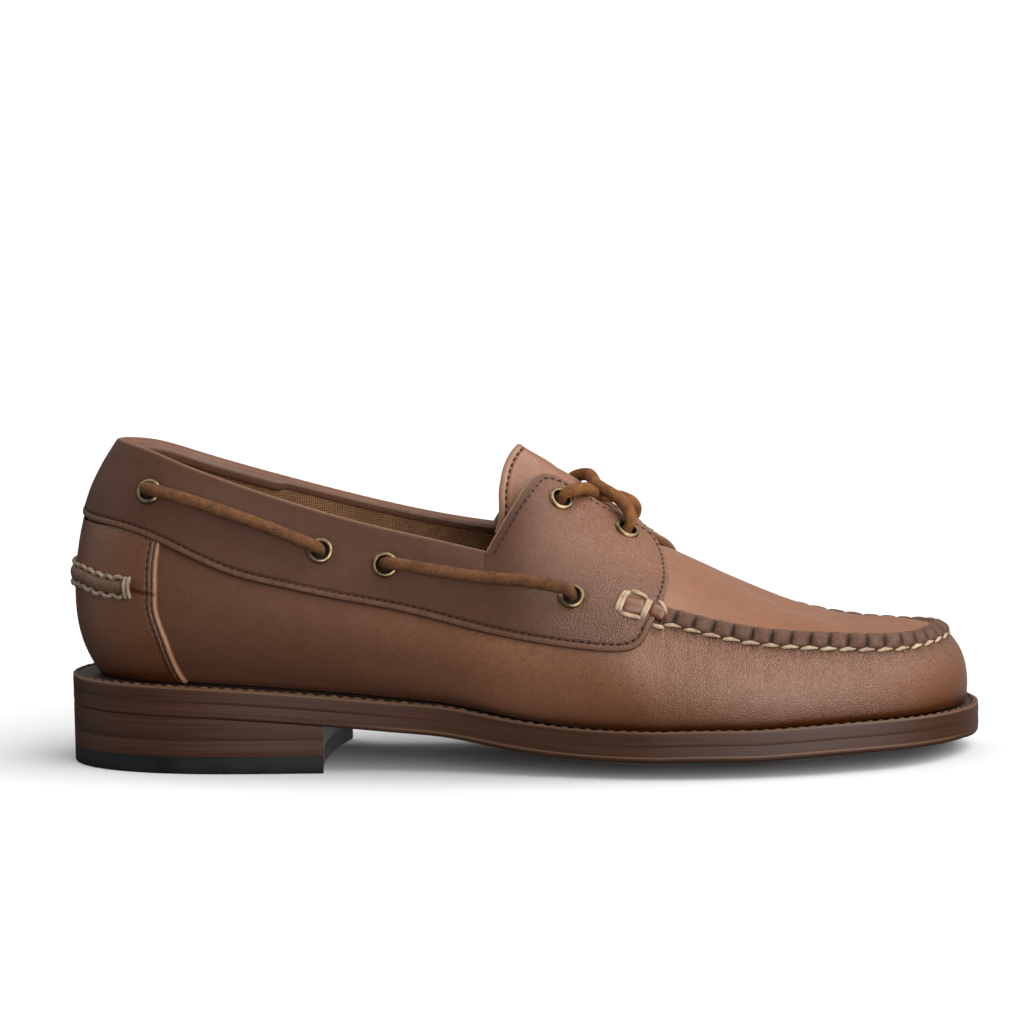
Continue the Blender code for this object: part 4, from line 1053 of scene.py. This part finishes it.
def rounded(distance, radius):
    """How far a rounded edge has dropped at a distance from its end."""
    share = 1 - np.clip(distance / radius, 0, 1)
    return radius * (1 - np.sqrt(1 - share**2))


PANEL_LIFT = 1.45  # its face, over the outside of the wall
PANEL_SEWING = 3.5  # its row of stitches, from the front edge
# Heights of its front edge, which kinks forward below the join, and its stations there.
front_at = open_curve(
    (0.0, 0.09, 0.45, 0.80, 0.93, 1.05, 1.36), (2.00, 1.95, 1.80, 1.665, 1.655, 1.65, 1.645)
)
PANEL_JOIN = np.array([(1.1, 1.005), (1.32, 0.965), (1.48, 0.92), (1.68, 0.865)])
spread = np.linspace(-1, 1, 341)
spread = np.sign(spread) * (1 - (1 - np.abs(spread)) ** 1.25)
climb = np.linspace(0.02, 1.42, 110)
reach = front_at(climb)[:, 0]
stations = spread[:, None] * reach
heights = np.repeat(climb[None, :], len(spread), axis=0)
base = outside(stations, heights)
fronts, joins = [], []
for side in (1, -1):
    fronts.append(even_line(outside(reach * side, climb), 0.15)[0])
    joins.append(surface_line(PANEL_JOIN * [side, 1])[0])
from_front = distance_to(base, np.concatenate(fronts))
from_join = distance_to(base, np.concatenate(joins))
lift = PANEL_LIFT - rounded(from_front, 0.9)
lift += 0.12 * bell(from_front, 0.85, 0.6)
lift -= 0.30 * bell(from_front, 1.9, 0.30)
lift -= 0.20 * bell(from_front, PANEL_SEWING, 0.5)
lift -= 0.55 * bell(from_join, 0, 0.45)
foot = climb * rib_speed(reach, 0.5)
lift -= 0.8 * np.exp(-foot / 0.9)
first, final = [lifted(stations[[end]], heights[[end]], -0.3) for end in (0, -1)]
points = np.concatenate([first, lifted(stations, heights, lift), final])
strip = 1 - smooth(from_front, 0.9, 1.35)
# deep: darker overall; painted shade at the panel's foot, in the groove under the roll, in the
# groove behind the front edge and along the stitches
deep = (
    0.9 * np.exp(-foot / 2.6)
    + 0.54 + 0.25 * np.exp(-foot / 16)
    + 0.8 * bell(from_join, 0, 0.5)
    + 0.6 * bell(from_front, 1.95, 0.3)
    + 0.3 * bell(from_front, PANEL_SEWING, 0.6)
)
deep = np.clip(deep, 0, 1) * (1 - 0.7 * strip)
ENDS = ((1, 1), (0, 0))
marks = {
    # the tucked-in end rows get painted shade
    "deep": np.pad(deep, ENDS, constant_values=0.8),
    "worn": np.pad(0.3 * strip, ENDS, mode="edge"),
    "pebble": 0.35,
}
faces = sheet_faces(*points.shape[:2])
add_piece("heel_panel", points, faces, band_calf, "counter", ["heel_counter"], marks)


def inset_line(places, inset):
    """The places moved to the left of their way, along the surface."""
    places = np.asarray(places, float)
    stations, heights = places.T
    step = 0.01
    upper, lower = np.clip(heights + step, 0, 2), np.clip(heights - step, 0, 2)
    along = (outside(stations + step, heights) - outside(stations - step, heights)) / (2 * step)
    up = (outside(stations, upper) - outside(stations, lower)) / (upper - lower)[:, None]
    way = unit(np.gradient(outside(stations, heights), axis=0))
    left = unit(np.cross(outward_normal(stations, heights), way)) * inset
    moved = []
    for a, b, move in zip(along, up, left):
        matrix = np.array([[a.dot(a), a.dot(b)], [a.dot(b), b.dot(b)]])
        moved.append(np.linalg.solve(matrix, [a.dot(move), b.dot(move)]))
    return places + moved


def sewn_line(places, lift, pitch, length, width):
    """A row of stitches along places on the upper."""
    line, outs = surface_line(places, lift)
    return stitch_row(line, outs, pitch, length, width, sink=0.3)


front_edge = np.column_stack([reach, climb])[4:-6:4]
rows = []
for side in (1, -1):
    row = inset_line(front_edge * [side, 1], PANEL_SEWING * side)
    rows.append(sewn_line(row, PANEL_LIFT - 0.1, pitch=2.5, length=1.7, width=0.55))
add_piece("heel_panel_stitches", *joined(rows), dark_thread, "counter")


def tube(route, radius, sides=16, flat=1.0, ups=None):
    """A cord along a route, as a grid of rings. Flat squeezes it towards the surface."""
    route = np.asarray(route, float)
    way = unit(np.gradient(route, axis=0))
    if ups is None:
        first = np.cross(way[0], [0.0, 0.0, 1.0])
        first = first if np.linalg.norm(first) > 1e-3 else np.array([0.0, 1.0, 0.0])
        ups = []
        for direction in way:
            first = unit(first - direction * first.dot(direction))
            ups.append(first)
        ups = np.array(ups)
    ups = unit(ups - way * (ups * way).sum(1)[:, None])
    sides_way = np.cross(way, ups)
    radius = np.broadcast_to(radius, (len(route),))[None, :, None]
    angle = np.linspace(0, 2 * math.pi, sides, endpoint=False)[:, None, None]
    ring = np.cos(angle) * ups[None] * flat + np.sin(angle) * sides_way[None]
    return route[None] + ring * radius, sheet_faces(sides, len(route), closed=True)


ROLL_PLACES = [
    (-1.39, 0.972), (-1.16, 1.0), (-0.95, 1.03), (-0.71, 1.06), (-0.35, 1.065), (0.0, 1.065),
    (0.35, 1.065), (0.71, 1.06), (0.95, 1.03), (1.16, 1.0), (1.39, 0.972),
]
ROLL_STEP = 0.35
ROLL_HALF = 2.55  # half its width
LOOP = 4.15  # from one turn of the overcast thread to the next
roll_line, roll_outs = surface_line(ROLL_PLACES, PANEL_LIFT, ROLL_STEP)
run = np.arange(len(roll_line)) * ROLL_STEP
length = run[-1]
end = np.clip(np.minimum(run, length - run) / 1.6, 0, 1)
taper = np.sqrt(end * (2 - end))
loops = np.abs(np.sin(math.pi * run / LOOP))
radius = ROLL_HALF * (0.35 + 0.65 * taper) * (0.93 + 0.07 * loops)
points, faces = tube(roll_line, radius, 28, 0.72, roll_outs)
roll_calf = waxed_calf(
    "heel roll calf", (0.150, 0.070, 0.036), (0.070, 0.032, 0.017), TAN_EDGE, 0.6
)
add_piece("heel_roll", points, faces, roll_calf, "counter", marks={"pebble": 0.4})
sides_way = np.cross(unit(np.gradient(roll_line, axis=0)), roll_outs)
pale_thread = spun_thread("heel roll thread", (0.33, 0.25, 0.175), (0.18, 0.125, 0.085), 0.75)
parts = []
inside = (run > 0.8) & (run < length - 0.8)
for side in (1, -1):
    scallop = (ROLL_HALF - 0.1 + 1.0 * loops)[:, None]
    hem = roll_line + sides_way * side * scallop + roll_outs * (0.35 + 0.55 * loops)[:, None]
    parts.append(tube(hem[inside], 0.72, 10, ups=roll_outs[inside]))
turn = np.linspace(-1, 1, 25)[:, None]
for k, further_in in ((1, 7), (-2, -8)):
    place, out, way = roll_line[k], roll_outs[k], sides_way[k]
    end_way = unit(place - roll_line[further_in])
    for shift in (1.0, -0.5):
        bar = place + end_way * shift + way * turn * 3.3 + out * (1.2 + 1.3 * (1 - turn**2))
        parts.append(tube(bar, 0.7, 10, ups=np.tile(out, (len(bar), 1))))
add_piece("heel_roll_thread", *joined(parts), pale_thread, "counter")


# ------------------------------------------------------------------ Lining and collar facing
# A woven cotton lining is cemented inside the quarters. Under the rim a soft leather facing
# covers its top edge, deeper and lightly padded round the heel, where it ends in a step.

lining_cloth, tree, shader = new_finish("woven lining", 0.9, Specular_IOR_Level=0.1)
WEAVE = 5.2  # radians of its wave in each millimetre of cloth
run = arithmetic(tree, "MULTIPLY", mark_of(tree, "run"), WEAVE)
rise = arithmetic(tree, "MULTIPLY", mark_of(tree, "rise"), WEAVE)
warp = arithmetic(tree, "SINE", arithmetic(tree, "ADD", run, rise), 0.0)
weft = arithmetic(tree, "SINE", arithmetic(tree, "SUBTRACT", run, rise), 0.0)
cloth = arithmetic(tree, "MULTIPLY", warp, weft)
place = place_of(tree)
cloud = noise_of(tree, place, 120, 4.0)
colour = tint(tree, ramp(tree, cloth, -1, 1), (0.19, 0.092, 0.043), (0.54, 0.29, 0.145))
colour = clouded(tree, colour, [(cloud, 0.4, 0.7, 0.4, (0.11, 0.055, 0.03))])
coat(tree, shader, colour, [(cloth, 0.8, 0.0003)], ramp(tree, cloth, -1, 1, 0.95, 0.8))

LINING_DEPTH = 2.15  # inside the upper's outside
stations = np.linspace(-9.85, 9.85, 400)[:, None]
top = np.interp(np.abs(stations), (9.0, 9.2, 9.6, 9.85), (1.985, 1.88, 1.5, 1.05))
points = lifted(stations, np.linspace(0.06, 1, 80) * top, -LINING_DEPTH)
faces = sheet_faces(*points.shape[:2])[:, ::-1]
marks = {
    "run": run_along(points[:, 40])[:, None],
    "rise": np.array([run_along(row) for row in points]),
}
add_piece("quarter_lining", points, faces, lining_cloth, "sock", marks=marks)

facing_calf = waxed_calf(
    "facing calf", (0.175, 0.074, 0.036), (0.095, 0.038, 0.019), TAN_EDGE, 0.42
)
FACING_DEPTH = 2.1
FACING_HEEL = 2.5  # station where the padded part ends
stations = np.linspace(-9.1, 9.1, 520)[:, None]
padded = 1 - smooth(np.abs(stations), FACING_HEEL - 0.02, FACING_HEEL + 0.05)
share = np.linspace(0, 1, 26)
heights = 2 - (0.3 + (2.7 + 1.4 * padded) * share) / rib_speed(stations, 1.9)
thick = 0.35 + (0.5 + 1.1 * padded) * np.sqrt(np.clip(1 - (2 * share - 1) ** 4, 0, 1))
points = lifted(stations, heights, -FACING_DEPTH - thick * (1 - smooth(share, 0.93, 1.0)))
faces = sheet_faces(*points.shape[:2])
# deep: painted shade inside the collar, darkest towards the facing's lower edge
marks = {"pebble": 0.3, "deep": 0.40 + 0.4 * smooth(share, 0.75, 1.0), "matt": 0.4}
add_piece("collar_facing", points, faces, facing_calf, "band", marks=marks)


# ------------------------------------------------------------------ Collar band and wings
# One strap of calf runs round the collar and widens into a wing on each side of the throat. Its
# lower edge is turned into a lip and sewn, and its top is turned over the rim of the shoe.

BAND_LIFT = 2.25  # its face, over the outside of the wall
BAND_LOW = [
    (0.0, 1.455), (0.42, 1.435), (1.09, 1.41), (1.52, 1.335), (1.94, 1.18), (2.27, 1.06),
    (2.67, 1.005), (3.08, 0.98), (3.73, 0.94), (4.24, 0.875), (5.64, 0.74), (6.8, 0.68),
    (7.62, 0.64), (8.16, 0.625), (8.67, 0.63), (9.02, 0.655), (9.35, 0.72), (9.5, 0.80),
    (9.6, 0.875), (9.77, 1.02), (9.87, 1.15), (9.925, 1.36),
]
BAND_FRONT = [(9.925, 1.36), (9.88, 1.50), (9.75, 1.71), (9.6, 1.83), (9.42, 1.93), (9.22, 2.0)]
low_fine, front_fine = fine_places(BAND_LOW, 2400), fine_places(BAND_FRONT, 400)
# Columns of points, closer together towards the nose of each wing.
nose = 9.3 + 0.624 * np.sin(np.linspace(0, math.pi / 2, 44))
half = np.concatenate([np.arange(0, 9.3, 1 / 34), nose])
sides = np.concatenate([-half[:0:-1], half])
from_heel = np.abs(sides)
low = np.interp(from_heel, low_fine[:, 0], low_fine[:, 1])
high = np.interp(from_heel, front_fine[::-1, 0], front_fine[::-1, 1])
high = np.where(from_heel < 9.22, 2.0, high)
t = np.linspace(0, 1, 100)
share = (0.55 * t + 0.45 * (0.5 - 0.5 * np.cos(math.pi * t)))[None, :]
heights = low[:, None] * (1 - share) + high[:, None] * share
stations = np.repeat(sides[:, None], 100, axis=1)
base = outside(stations, heights)


def both_lines(places):
    """The line through places on the outer side and its match on the inner side, as points."""
    return np.concatenate([outside(places[:, 0] * side, places[:, 1]) for side in (1, -1)])


lip_places = low_fine[low_fine[:, 0] < 9.6]
cut_places = np.vstack([low_fine[low_fine[:, 0] >= 9.6], front_fine])
rim_stations = np.linspace(0, 9.24, 2000)
rim_places = np.column_stack([rim_stations, np.full(2000, 2.0)])
from_lip = distance_to(base, both_lines(lip_places))
from_cut = distance_to(base, both_lines(cut_places))
from_rim = distance_to(base, both_lines(rim_places))
away = np.abs(stations)
is_wing = smooth(away, 5.0, 5.15)
LIP = 2.05  # width of the turned lower edge
CUT_SEWING = 1.9  # row of stitches from the front edge of a wing
RIM_SEWING = 2.6  # and from its rim
lift = BAND_LIFT - rounded(from_lip, 0.6) - rounded(from_cut, 0.7)
lift += 0.16 * bell(from_lip, 1.25, 0.85)
lift -= 0.42 * bell(from_lip, LIP + 0.25, 0.38)
lift -= 0.16 * bell(from_cut, CUT_SEWING, 0.6) * (from_lip > 3.5)
lift -= 0.16 * bell(from_rim, RIM_SEWING, 0.7) * is_wing
wing_bulge = smooth(away, 7.8, 9.2) * smooth(from_cut, 2, 12) * smooth(from_lip, 3, 12)
lift += 0.5 * wing_bulge
sway = np.sin(stations * 1.9 + 0.6) * np.sin(heights * 5.0 + stations * 0.7)
lift += 0.22 * sway * smooth(from_lip, 3, 9) * smooth(from_rim, 3, 9)
lift -= rounded(from_rim, 1.5) * (heights > 1.5) * (away < 9.3)
EYELETS = {
    "side_1": (1.32, 1.715),
    "side_2": (2.97, 1.515),
    "side_3": (3.56, 1.50),
    "side_4": (7.51, 1.02),
    "wing_rear": (7.30, 1.80),
    "wing_front": (8.69, 1.82),
}
for station, height in EYELETS.values():
    for side in (1, -1):
        middle = outside([station * side], [height])[0]
        from_hole = np.linalg.norm(base - middle, axis=-1)
        lift -= 1.7 * (1 - smooth(from_hole, 2.7, 3.5))
        lift -= 0.25 * bell(from_hole, 4.4, 0.9)
points = lifted(stations, heights, lift)
top = outside(sides, high)
rise = unit(top - outside(sides, high - 0.02))
out = outward_normal(sides, high)
# The turned top, from the band's face over the rim: distance outside the upper, rise.
turned = [(0.55, 0.0), (-0.3, 0.0), (-1.0, -0.15), (-1.6, -0.5), (-2.05, -1.0), (-2.2, -1.6)]
behind = 1 - smooth(from_heel, 8.75, 9.2)
over = []
for shift, sink in turned:
    shift = shift * behind + (0.9 - 0.2 * len(over)) * (1 - behind)
    over.append(top + out * shift[:, None] + rise * (sink * behind)[:, None])
skirt = outside(stations[:, :1], heights[:, :1])
points = np.concatenate([skirt, points, np.stack(over, axis=1)], axis=1)


def edged(values, low_value, high_value):
    """Marks of the band's face, with values for its skirt and its turned top."""
    ends = ((0, 0), (low_value, high_value))
    return np.pad(values, ((0, 0), (1, len(turned))), constant_values=ends)


lip_share = 1 - smooth(from_lip, LIP - 0.5, LIP + 0.1)
rear = 1 - smooth(away, 5.4, 8.2)
# deep: darker towards the heel; painted shade low on the wings, in the groove above the lip, at the
# lip's lower edge and along the rows of stitches
deep = (
    0.94 * rear
    + 0.50 * (1 - rear) * (1 - smooth(heights, 0.9, 1.55))
    + 0.35 * bell(from_lip, LIP + 0.25, 0.45)
    + 0.4 * np.exp(-from_lip / 0.3)
    + 0.35 * bell(from_cut, CUT_SEWING, 0.6) * (from_lip > 3.5)
    + 0.25 * bell(from_rim, RIM_SEWING, 0.8) * is_wing
)
fray = np.sin(stations * 67 + 2 * np.sin(stations * 19)) * np.sin(stations * 29 + 1)
worn = (0.16 + 0.10 * fray) * lip_share * smooth(from_lip, 0.2, 0.6)
worn += 0.55 * bell(from_rim, 0, 0.55) + 0.25 * bell(from_cut, 0, 0.5)
throat_edge = smooth(away, 5.0, 5.1) * (1 - smooth(away, 7.0, 7.6))
worn += 0.9 * throat_edge * (1 - smooth(from_rim, 0.6, 1.1))
marks = {
    # the skirt and the turned top get painted shade
    "deep": edged(np.clip(deep, 0, 1), 0.9, 0.62),
    "worn": edged(np.clip(worn, 0, 1), 0.0, 0.0),
    "matt": edged(np.maximum(rear, 0.8 * lip_share), 1.0, 0.6),
    "pebble": edged(0.2 + 0.65 * smooth(away, 4.5, 8.0), 0.0, 0.2),
}
faces = sheet_faces(*points.shape[:2])
add_piece("collar_band_and_wings", points, faces, band_calf, "band", ["collar_band"], marks)

wing_rim = np.column_stack([np.linspace(5.03, 9.12, 60), np.full(60, 2.0)])
wing_front = np.vstack([low_fine[low_fine[:, 0] > 9.8][::20], front_fine[1::20]])
BAND_SEWING = [
    # edge, inset from it, depth below the band's face, station where the row ends
    (low_fine[::40], LIP + 0.35, 0.22, 9.42),
    (wing_rim, -RIM_SEWING, 0.1, TOE),
    (wing_front, CUT_SEWING, 0.1, TOE),
]
rows = []
for side in (1, -1):
    for edge, inset, sunk, end in BAND_SEWING:
        row = inset_line(edge * [side, 1], inset * side)
        row = row[np.abs(row[:, 0]) < end]
        rows.append(sewn_line(row, BAND_LIFT - sunk, pitch=2.45, length=1.75, width=0.6))
add_piece("band_stitches", *joined(rows), dark_thread, "band")


# ------------------------------------------------------------------ Seam end
# Where the plug's seam meets each wing, its thread is whipped in heavy loops round a small pad
# of calf, which stops the seam from tearing open.

STRAND_RADIUS = 0.72
STRANDS = [
    # places along it, lift over the band, rise of its middle
    ([(8.765, 1.098), (8.60, 1.015), (8.505, 0.925)], 0.45, 0.4),
    ([(8.845, 1.098), (8.68, 1.010), (8.590, 0.918)], 0.45, 0.6),
    ([(8.83, 1.098), (9.12, 1.075), (9.42, 1.04)], 0.45, 0.25),
    ([(8.61, 0.913), (8.92, 0.896), (9.235, 0.893)], 0.45, 0.35),
    ([(9.53, 1.030), (9.42, 0.965), (9.30, 0.893)], 0.45, 0.7),
    ([(9.45, 1.034), (9.34, 0.965), (9.22, 0.893)], 0.45, 0.7),
    ([(9.70, 1.030), (9.80, 1.005), (9.90, 0.965)], 0.45, 0.3),
    ([(9.57, 0.862), (9.70, 0.853), (9.85, 0.858)], -0.65, 0.1),
]
PADS = [
    # places of its ends, width
    ([(8.62, 0.985), (9.36, 0.975)], 3.1),
    ([(9.50, 0.985), (9.90, 0.955)], 2.6),
]
parts, pads = [], []
for side in (1, -1):
    for places, lift, rise in STRANDS:
        line, outs = surface_line(np.array(places) * [side, 1], BAND_LIFT + lift, 0.25)
        share = np.abs(np.linspace(-1, 1, len(line)))
        line = line + outs * (rise - 1.6 * share[:, None] ** 5)
        parts.append(tube(line, STRAND_RADIUS * (1 - 0.35 * share**6), 12, 0.8, outs))
    for places, width in PADS:
        line, outs = surface_line(np.array(places) * [side, 1], BAND_LIFT - 0.5, 0.25)
        share = np.abs(np.linspace(-1, 1, len(line)))
        pads.append(tube(line, width * np.sqrt(np.clip(1 - share**6, 0.01, 1)), 24, 0.62, outs))
add_piece("seam_end_whipping", *joined(parts), cream_thread, "wall")
add_piece("seam_end_pads", *joined(pads), band_calf, "wall", marks={"deep": 0.45})


# ------------------------------------------------------------------ Eyelets
# Brass eyelets, spun over on the face of the band and gone dull in their corners.

brass, tree, shader = new_finish("aged brass", 0.32, Metallic=1.0)
place = place_of(tree)
tarnish = noise_of(tree, place, 420, 4.0)
scratch = noise_of(tree, place, 3000, 2.0)
colour = tint(tree, ramp(tree, tarnish, 0.35, 0.68), (0.36, 0.26, 0.14), (0.14, 0.095, 0.05))
colour = tint(tree, mark_of(tree, "deep"), colour, (0.03, 0.02, 0.012))
gloss = ramp(tree, tarnish, 0.3, 0.7, 0.34, 0.55)
coat(tree, shader, colour, [(scratch, 0.15, 0.00008)], gloss)

RING_SECTION = [
    # radius, rise over the band, tarnish and painted shade
    (4.35, -0.35, 0.5), (4.32, 0.05, 0.25), (4.15, 0.42, 0), (3.8, 0.72, 0), (3.4, 0.84, 0),
    (3.1, 0.74, 0), (2.92, 0.45, 0.35), (2.85, 0.0, 0.7), (2.8, -0.6, 0.9), (2.78, -1.5, 1.0),
]
# The back of each hole is a near-black disc: painted shade down the hole
HOLE_DEPTH = 1.15  # of the dark back of the hole, below the band's face
# grime: tarnish in the ring's corner, and painted shade down the hole's wall
grime = [row[2] for row in RING_SECTION]


def surface_frame(station, height):
    """Origin on the band's face, and unit vectors along the shoe, up the rib and outwards."""
    origin = lifted([station], [height], BAND_LIFT)[0]
    out = outward_normal(np.array([station]), np.array([height]))[0]
    along = outside([station + 0.05], [height])[0] - outside([station - 0.05], [height])[0]
    along = unit(along - out * along.dot(out))
    return origin, along, np.cross(out, along), out


hole_shadow_finish, tree, shader = new_finish("hole dark", 0.9)
shade = noise_of(tree, place_of(tree), 900, 2.0)
colour = tint(tree, shade, (0.008, 0.005, 0.004), (0.02, 0.012, 0.008))
coat(tree, shader, colour, [(shade, 0.3, 0.0002)])

angle = np.linspace(0, 2 * math.pi, 56, endpoint=False)
backs = []
for side_name, side in (("outer", 1), ("inner", -1)):
    for eyelet, (station, height) in EYELETS.items():
        origin, along, up, out = surface_frame(station * side, height)
        ray = np.cos(angle)[:, None] * along + np.sin(angle)[:, None] * up
        rings = np.stack([origin + ray * r + out * z for r, z, _ in RING_SECTION], axis=1)
        add_piece(
            f"brass_eyelet_{side_name}_{eyelet}",
            rings,
            sheet_faces(*rings.shape[:2], closed=True),
            brass,
            "brass",
            [f"eyelet_{side_name}_{eyelet}"],
            {"deep": grime},
        )
        disc = np.stack([origin + ray * r - out * HOLE_DEPTH for r in (3.0, 1.5, 0.01)], axis=1)
        backs.append((disc, sheet_faces(*disc.shape[:2], closed=True)))
add_piece("eyelet_hole_shadows", *joined(backs), hole_shadow_finish, "band")


# ------------------------------------------------------------------ Laces
# One rawhide lace, round and napped, passes through the collar in bars that show on the sides.
# It crosses over the tongue, and its ends stop inside the top eyelets.

lace_hide, tree, shader = new_finish("napped rawhide", 0.95, Specular_IOR_Level=0.2)
place = place_of(tree)
nap = noise_of(tree, place, 1500, 5.0, 0.75)
patch = noise_of(tree, place, 230, 4.0, 0.65)
# Lit and shaded tones of one lace: painted light, lit on the crossing over the tongue and shaded on
# the side bars
patchy = ramp(tree, patch, 0.35, 0.7)
dull = tint(tree, patchy, (0.170, 0.074, 0.034), (0.088, 0.037, 0.018))
lit_lace_tone = tint(tree, patchy, (0.340, 0.135, 0.042), (0.170, 0.066, 0.022))
steps = [(nap, 0.5, 0.72, 0.75, (0.05, 0.02, 0.009)), (nap, 0.46, 0.3, 0.4, (0.40, 0.19, 0.075))]
colour = clouded(tree, tint(tree, mark_of(tree, "bright"), dull, lit_lace_tone), steps)
coat(tree, shader, colour, [(nap, 1.0, 0.0008), (patch, 0.25, 0.0008)])

LACE_RADIUS = 2.1
SIDE_EXIT = [(0.0, -0.9), (0.0, 1.3), (0.05, 2.4), (0.9, 4.3), (3.0, 5.3)]  # run ahead, rise
THROAT_EXIT = [(0.0, -0.9), (0.0, 1.3), (0.05, 2.3), (0.8, 3.2), (2.8, 3.9)]


def lace_end(station, height, ahead, exit_route):
    """Route of a lace out of an eyelet: up through its hole, then over its ring."""
    origin, along, up, out = surface_frame(station, height)
    ahead = np.asarray(ahead, float) - origin
    ahead = unit(ahead - out * ahead.dot(out))
    return [origin + ahead * run + out * rise for run, rise in exit_route]


def nearest_place(station, height, place):
    """Station and height on the upper that lie nearest to a place."""
    stations = np.arange(station - 2, station + 2, 0.05)[:, None]
    heights = np.arange(max(height - 0.5, 0.1), min(height + 0.5, 2), 0.025)[None, :]
    distance = np.linalg.norm(outside(stations, heights) - place, axis=-1)
    i, j = np.unravel_index(np.argmin(distance), distance.shape)
    return float(stations[i, 0]), float(heights[0, j])


def lace_mesh(route, seed):
    """The lace along a route, lumpy as cut hide, pinched where it goes into the holes."""
    route = np.array(route)
    run = run_along(route)
    fine = open_curve(run, route)(np.linspace(0, run[-1], 800))
    line, length = even_line(fine, 0.35)
    place = np.linspace(0, length, len(line))
    end = np.minimum(place, length - place)
    radius = LACE_RADIUS * (0.80 + 0.20 * smooth(end, 2.0, 7.0))
    points, faces = tube(line, radius, 28)
    rng = np.random.default_rng(seed)
    waves = rng.random((7, 3)) * [1.2, 4, 6.3] + [0.25, 0, 0]
    turn = np.arange(28)[:, None] * 2 * math.pi / 28
    lump = sum(
        np.sin(place[None, :] * pace + turn * round(lobes) + phase) for pace, lobes, phase in waves
    )
    lump = lump / 7 * 0.16 + 0.08 * (rng.random(points.shape[:2]) - 0.5)
    points = line[None] + (points - line[None]) * (1 + lump / LACE_RADIUS)[..., None]
    return points, faces


# bright: painted light on this length of lace
def add_lace(name, parts, stands_for, bright):
    add_piece(name, *joined(parts), lace_hide, "lace", stands_for, {"bright": bright})


SIDE_LACES = [
    # name, the two eyelets it joins, rise of its middle
    ("rear", "side_1", "side_2", 2.5),
    ("front", "side_3", "side_4", 3.0),
]
for side_name, side in (("outer", 1), ("inner", -1)):
    for part, first, final, bow in SIDE_LACES:
        start, end = EYELETS[first], EYELETS[final]
        start, end = (start[0] * side, start[1]), (end[0] * side, end[1])
        places = [surface_frame(*place)[0] for place in (start, end)]
        middle = nearest_place((start[0] + end[0]) / 2, (start[1] + end[1]) / 2, sum(places) / 2)
        clear = lifted([middle[0]], [middle[1]], BAND_LIFT + LACE_RADIUS + bow)[0]
        route = lace_end(*start, places[1], SIDE_EXIT) + [clear]
        route += lace_end(*end, places[0], SIDE_EXIT)[::-1]
        add_lace(
            f"lace_bar_{side_name}_{part}",
            [lace_mesh(route, len(part) + side)],
            [f"side_lace_{side_name}_{part}"],
            0.12,
        )

strands = []
for rise, side in ((5.0, 1), (7.1, -1)):  # the second strand lies over the first
    start, end = EYELETS["wing_rear"], EYELETS["wing_front"]
    start, end = (start[0] * side, start[1]), (-end[0] * side, end[1])
    places = [surface_frame(*place)[0] for place in (start, end)]
    route = lace_end(*start, places[1], THROAT_EXIT) + [sum(places) / 2 + [0, 0, rise]]
    route += lace_end(*end, places[0], THROAT_EXIT)[::-1]
    strands.append(lace_mesh(route, 11 + side))
add_lace("lace_crossing", strands, ["throat_lace"], 0.85)


# ------------------------------------------------------------------ Floor, light and camera
# A plain pale sweep and a high soft light. These aren't part of the shoe.

floor_mesh = bpy.data.meshes.new("floor")
REACH = 15.0
corners = [(-REACH, -REACH, 0), (REACH, -REACH, 0), (REACH, REACH, 0), (-REACH, REACH, 0)]
floor_mesh.from_pydata(corners, [], [(0, 1, 2, 3)])
floor = bpy.data.objects.new("floor", floor_mesh)
bpy.context.scene.collection.objects.link(floor)
paper, tree, shader = new_finish("pale paper", 1.0, Specular_IOR_Level=0.0)
shader.inputs["Base Color"].default_value = (0.80, 0.80, 0.80, 1)
floor_mesh.materials.append(paper)
floor.visible_diffuse = False
floor.visible_glossy = False

world = bpy.data.worlds.new("soft studio")
world.use_nodes = True
tree = world.node_tree
direction = put(tree, "ShaderNodeTexCoord").outputs["Generated"]
LAMPS = [
    # way towards it, power
    ((0.50, -0.87, 0.08), 5.6),
    ((0.64, -0.05, 0.77), 4.7),
    ((-0.56, 0.30, 0.77), 1.9),
    ((-1.0, -0.2, 0.05), 0.5),
    ((0.3, 0.95, 0.0), 0.4),
]
light = 0.06
for way, power in LAMPS:
    inputs = {0: direction, 1: unit(np.array(way))}
    facing = put(tree, "ShaderNodeVectorMath", inputs, operation="DOT_PRODUCT").outputs["Value"]
    lobe = arithmetic(tree, "MULTIPLY", ramp(tree, facing, 0.75, 1.0), power)
    light = arithmetic(tree, "ADD", lobe, light)
tree.links.new(light, tree.nodes["Background"].inputs["Strength"])
tree.nodes["Background"].inputs["Color"].default_value = (1, 1, 1, 1)
scene = bpy.context.scene
scene.world = world
scene.view_settings.view_transform = "Standard"

target = np.array([-0.0030, -0.00035, 0.0815])
DISTANCE = 2.0217  # of the camera from its target, in metres
azimuth, elevation, roll = math.radians(3.5), math.radians(8.4), math.radians(-1.1)
back = np.array([
    math.sin(azimuth) * math.cos(elevation),
    -math.cos(azimuth) * math.cos(elevation),
    math.sin(elevation),
])
right = unit(np.cross(-back, [0.0, 0.0, 1.0]))
up = np.cross(right, -back)
right, up = (
    right * math.cos(roll) + up * math.sin(roll),
    up * math.cos(roll) - right * math.sin(roll),
)
place = target + back * DISTANCE
camera_data = bpy.data.cameras.new("camera")
camera_data.sensor_width = 36.0
camera_data.lens = 214.3
camera = bpy.data.objects.new("camera", camera_data)
scene.collection.objects.link(camera)
matrix = np.eye(4)
matrix[:3, 0], matrix[:3, 1], matrix[:3, 2], matrix[:3, 3] = right, up, back, place
camera.matrix_world = Matrix(matrix.tolist())
scene.camera = camera
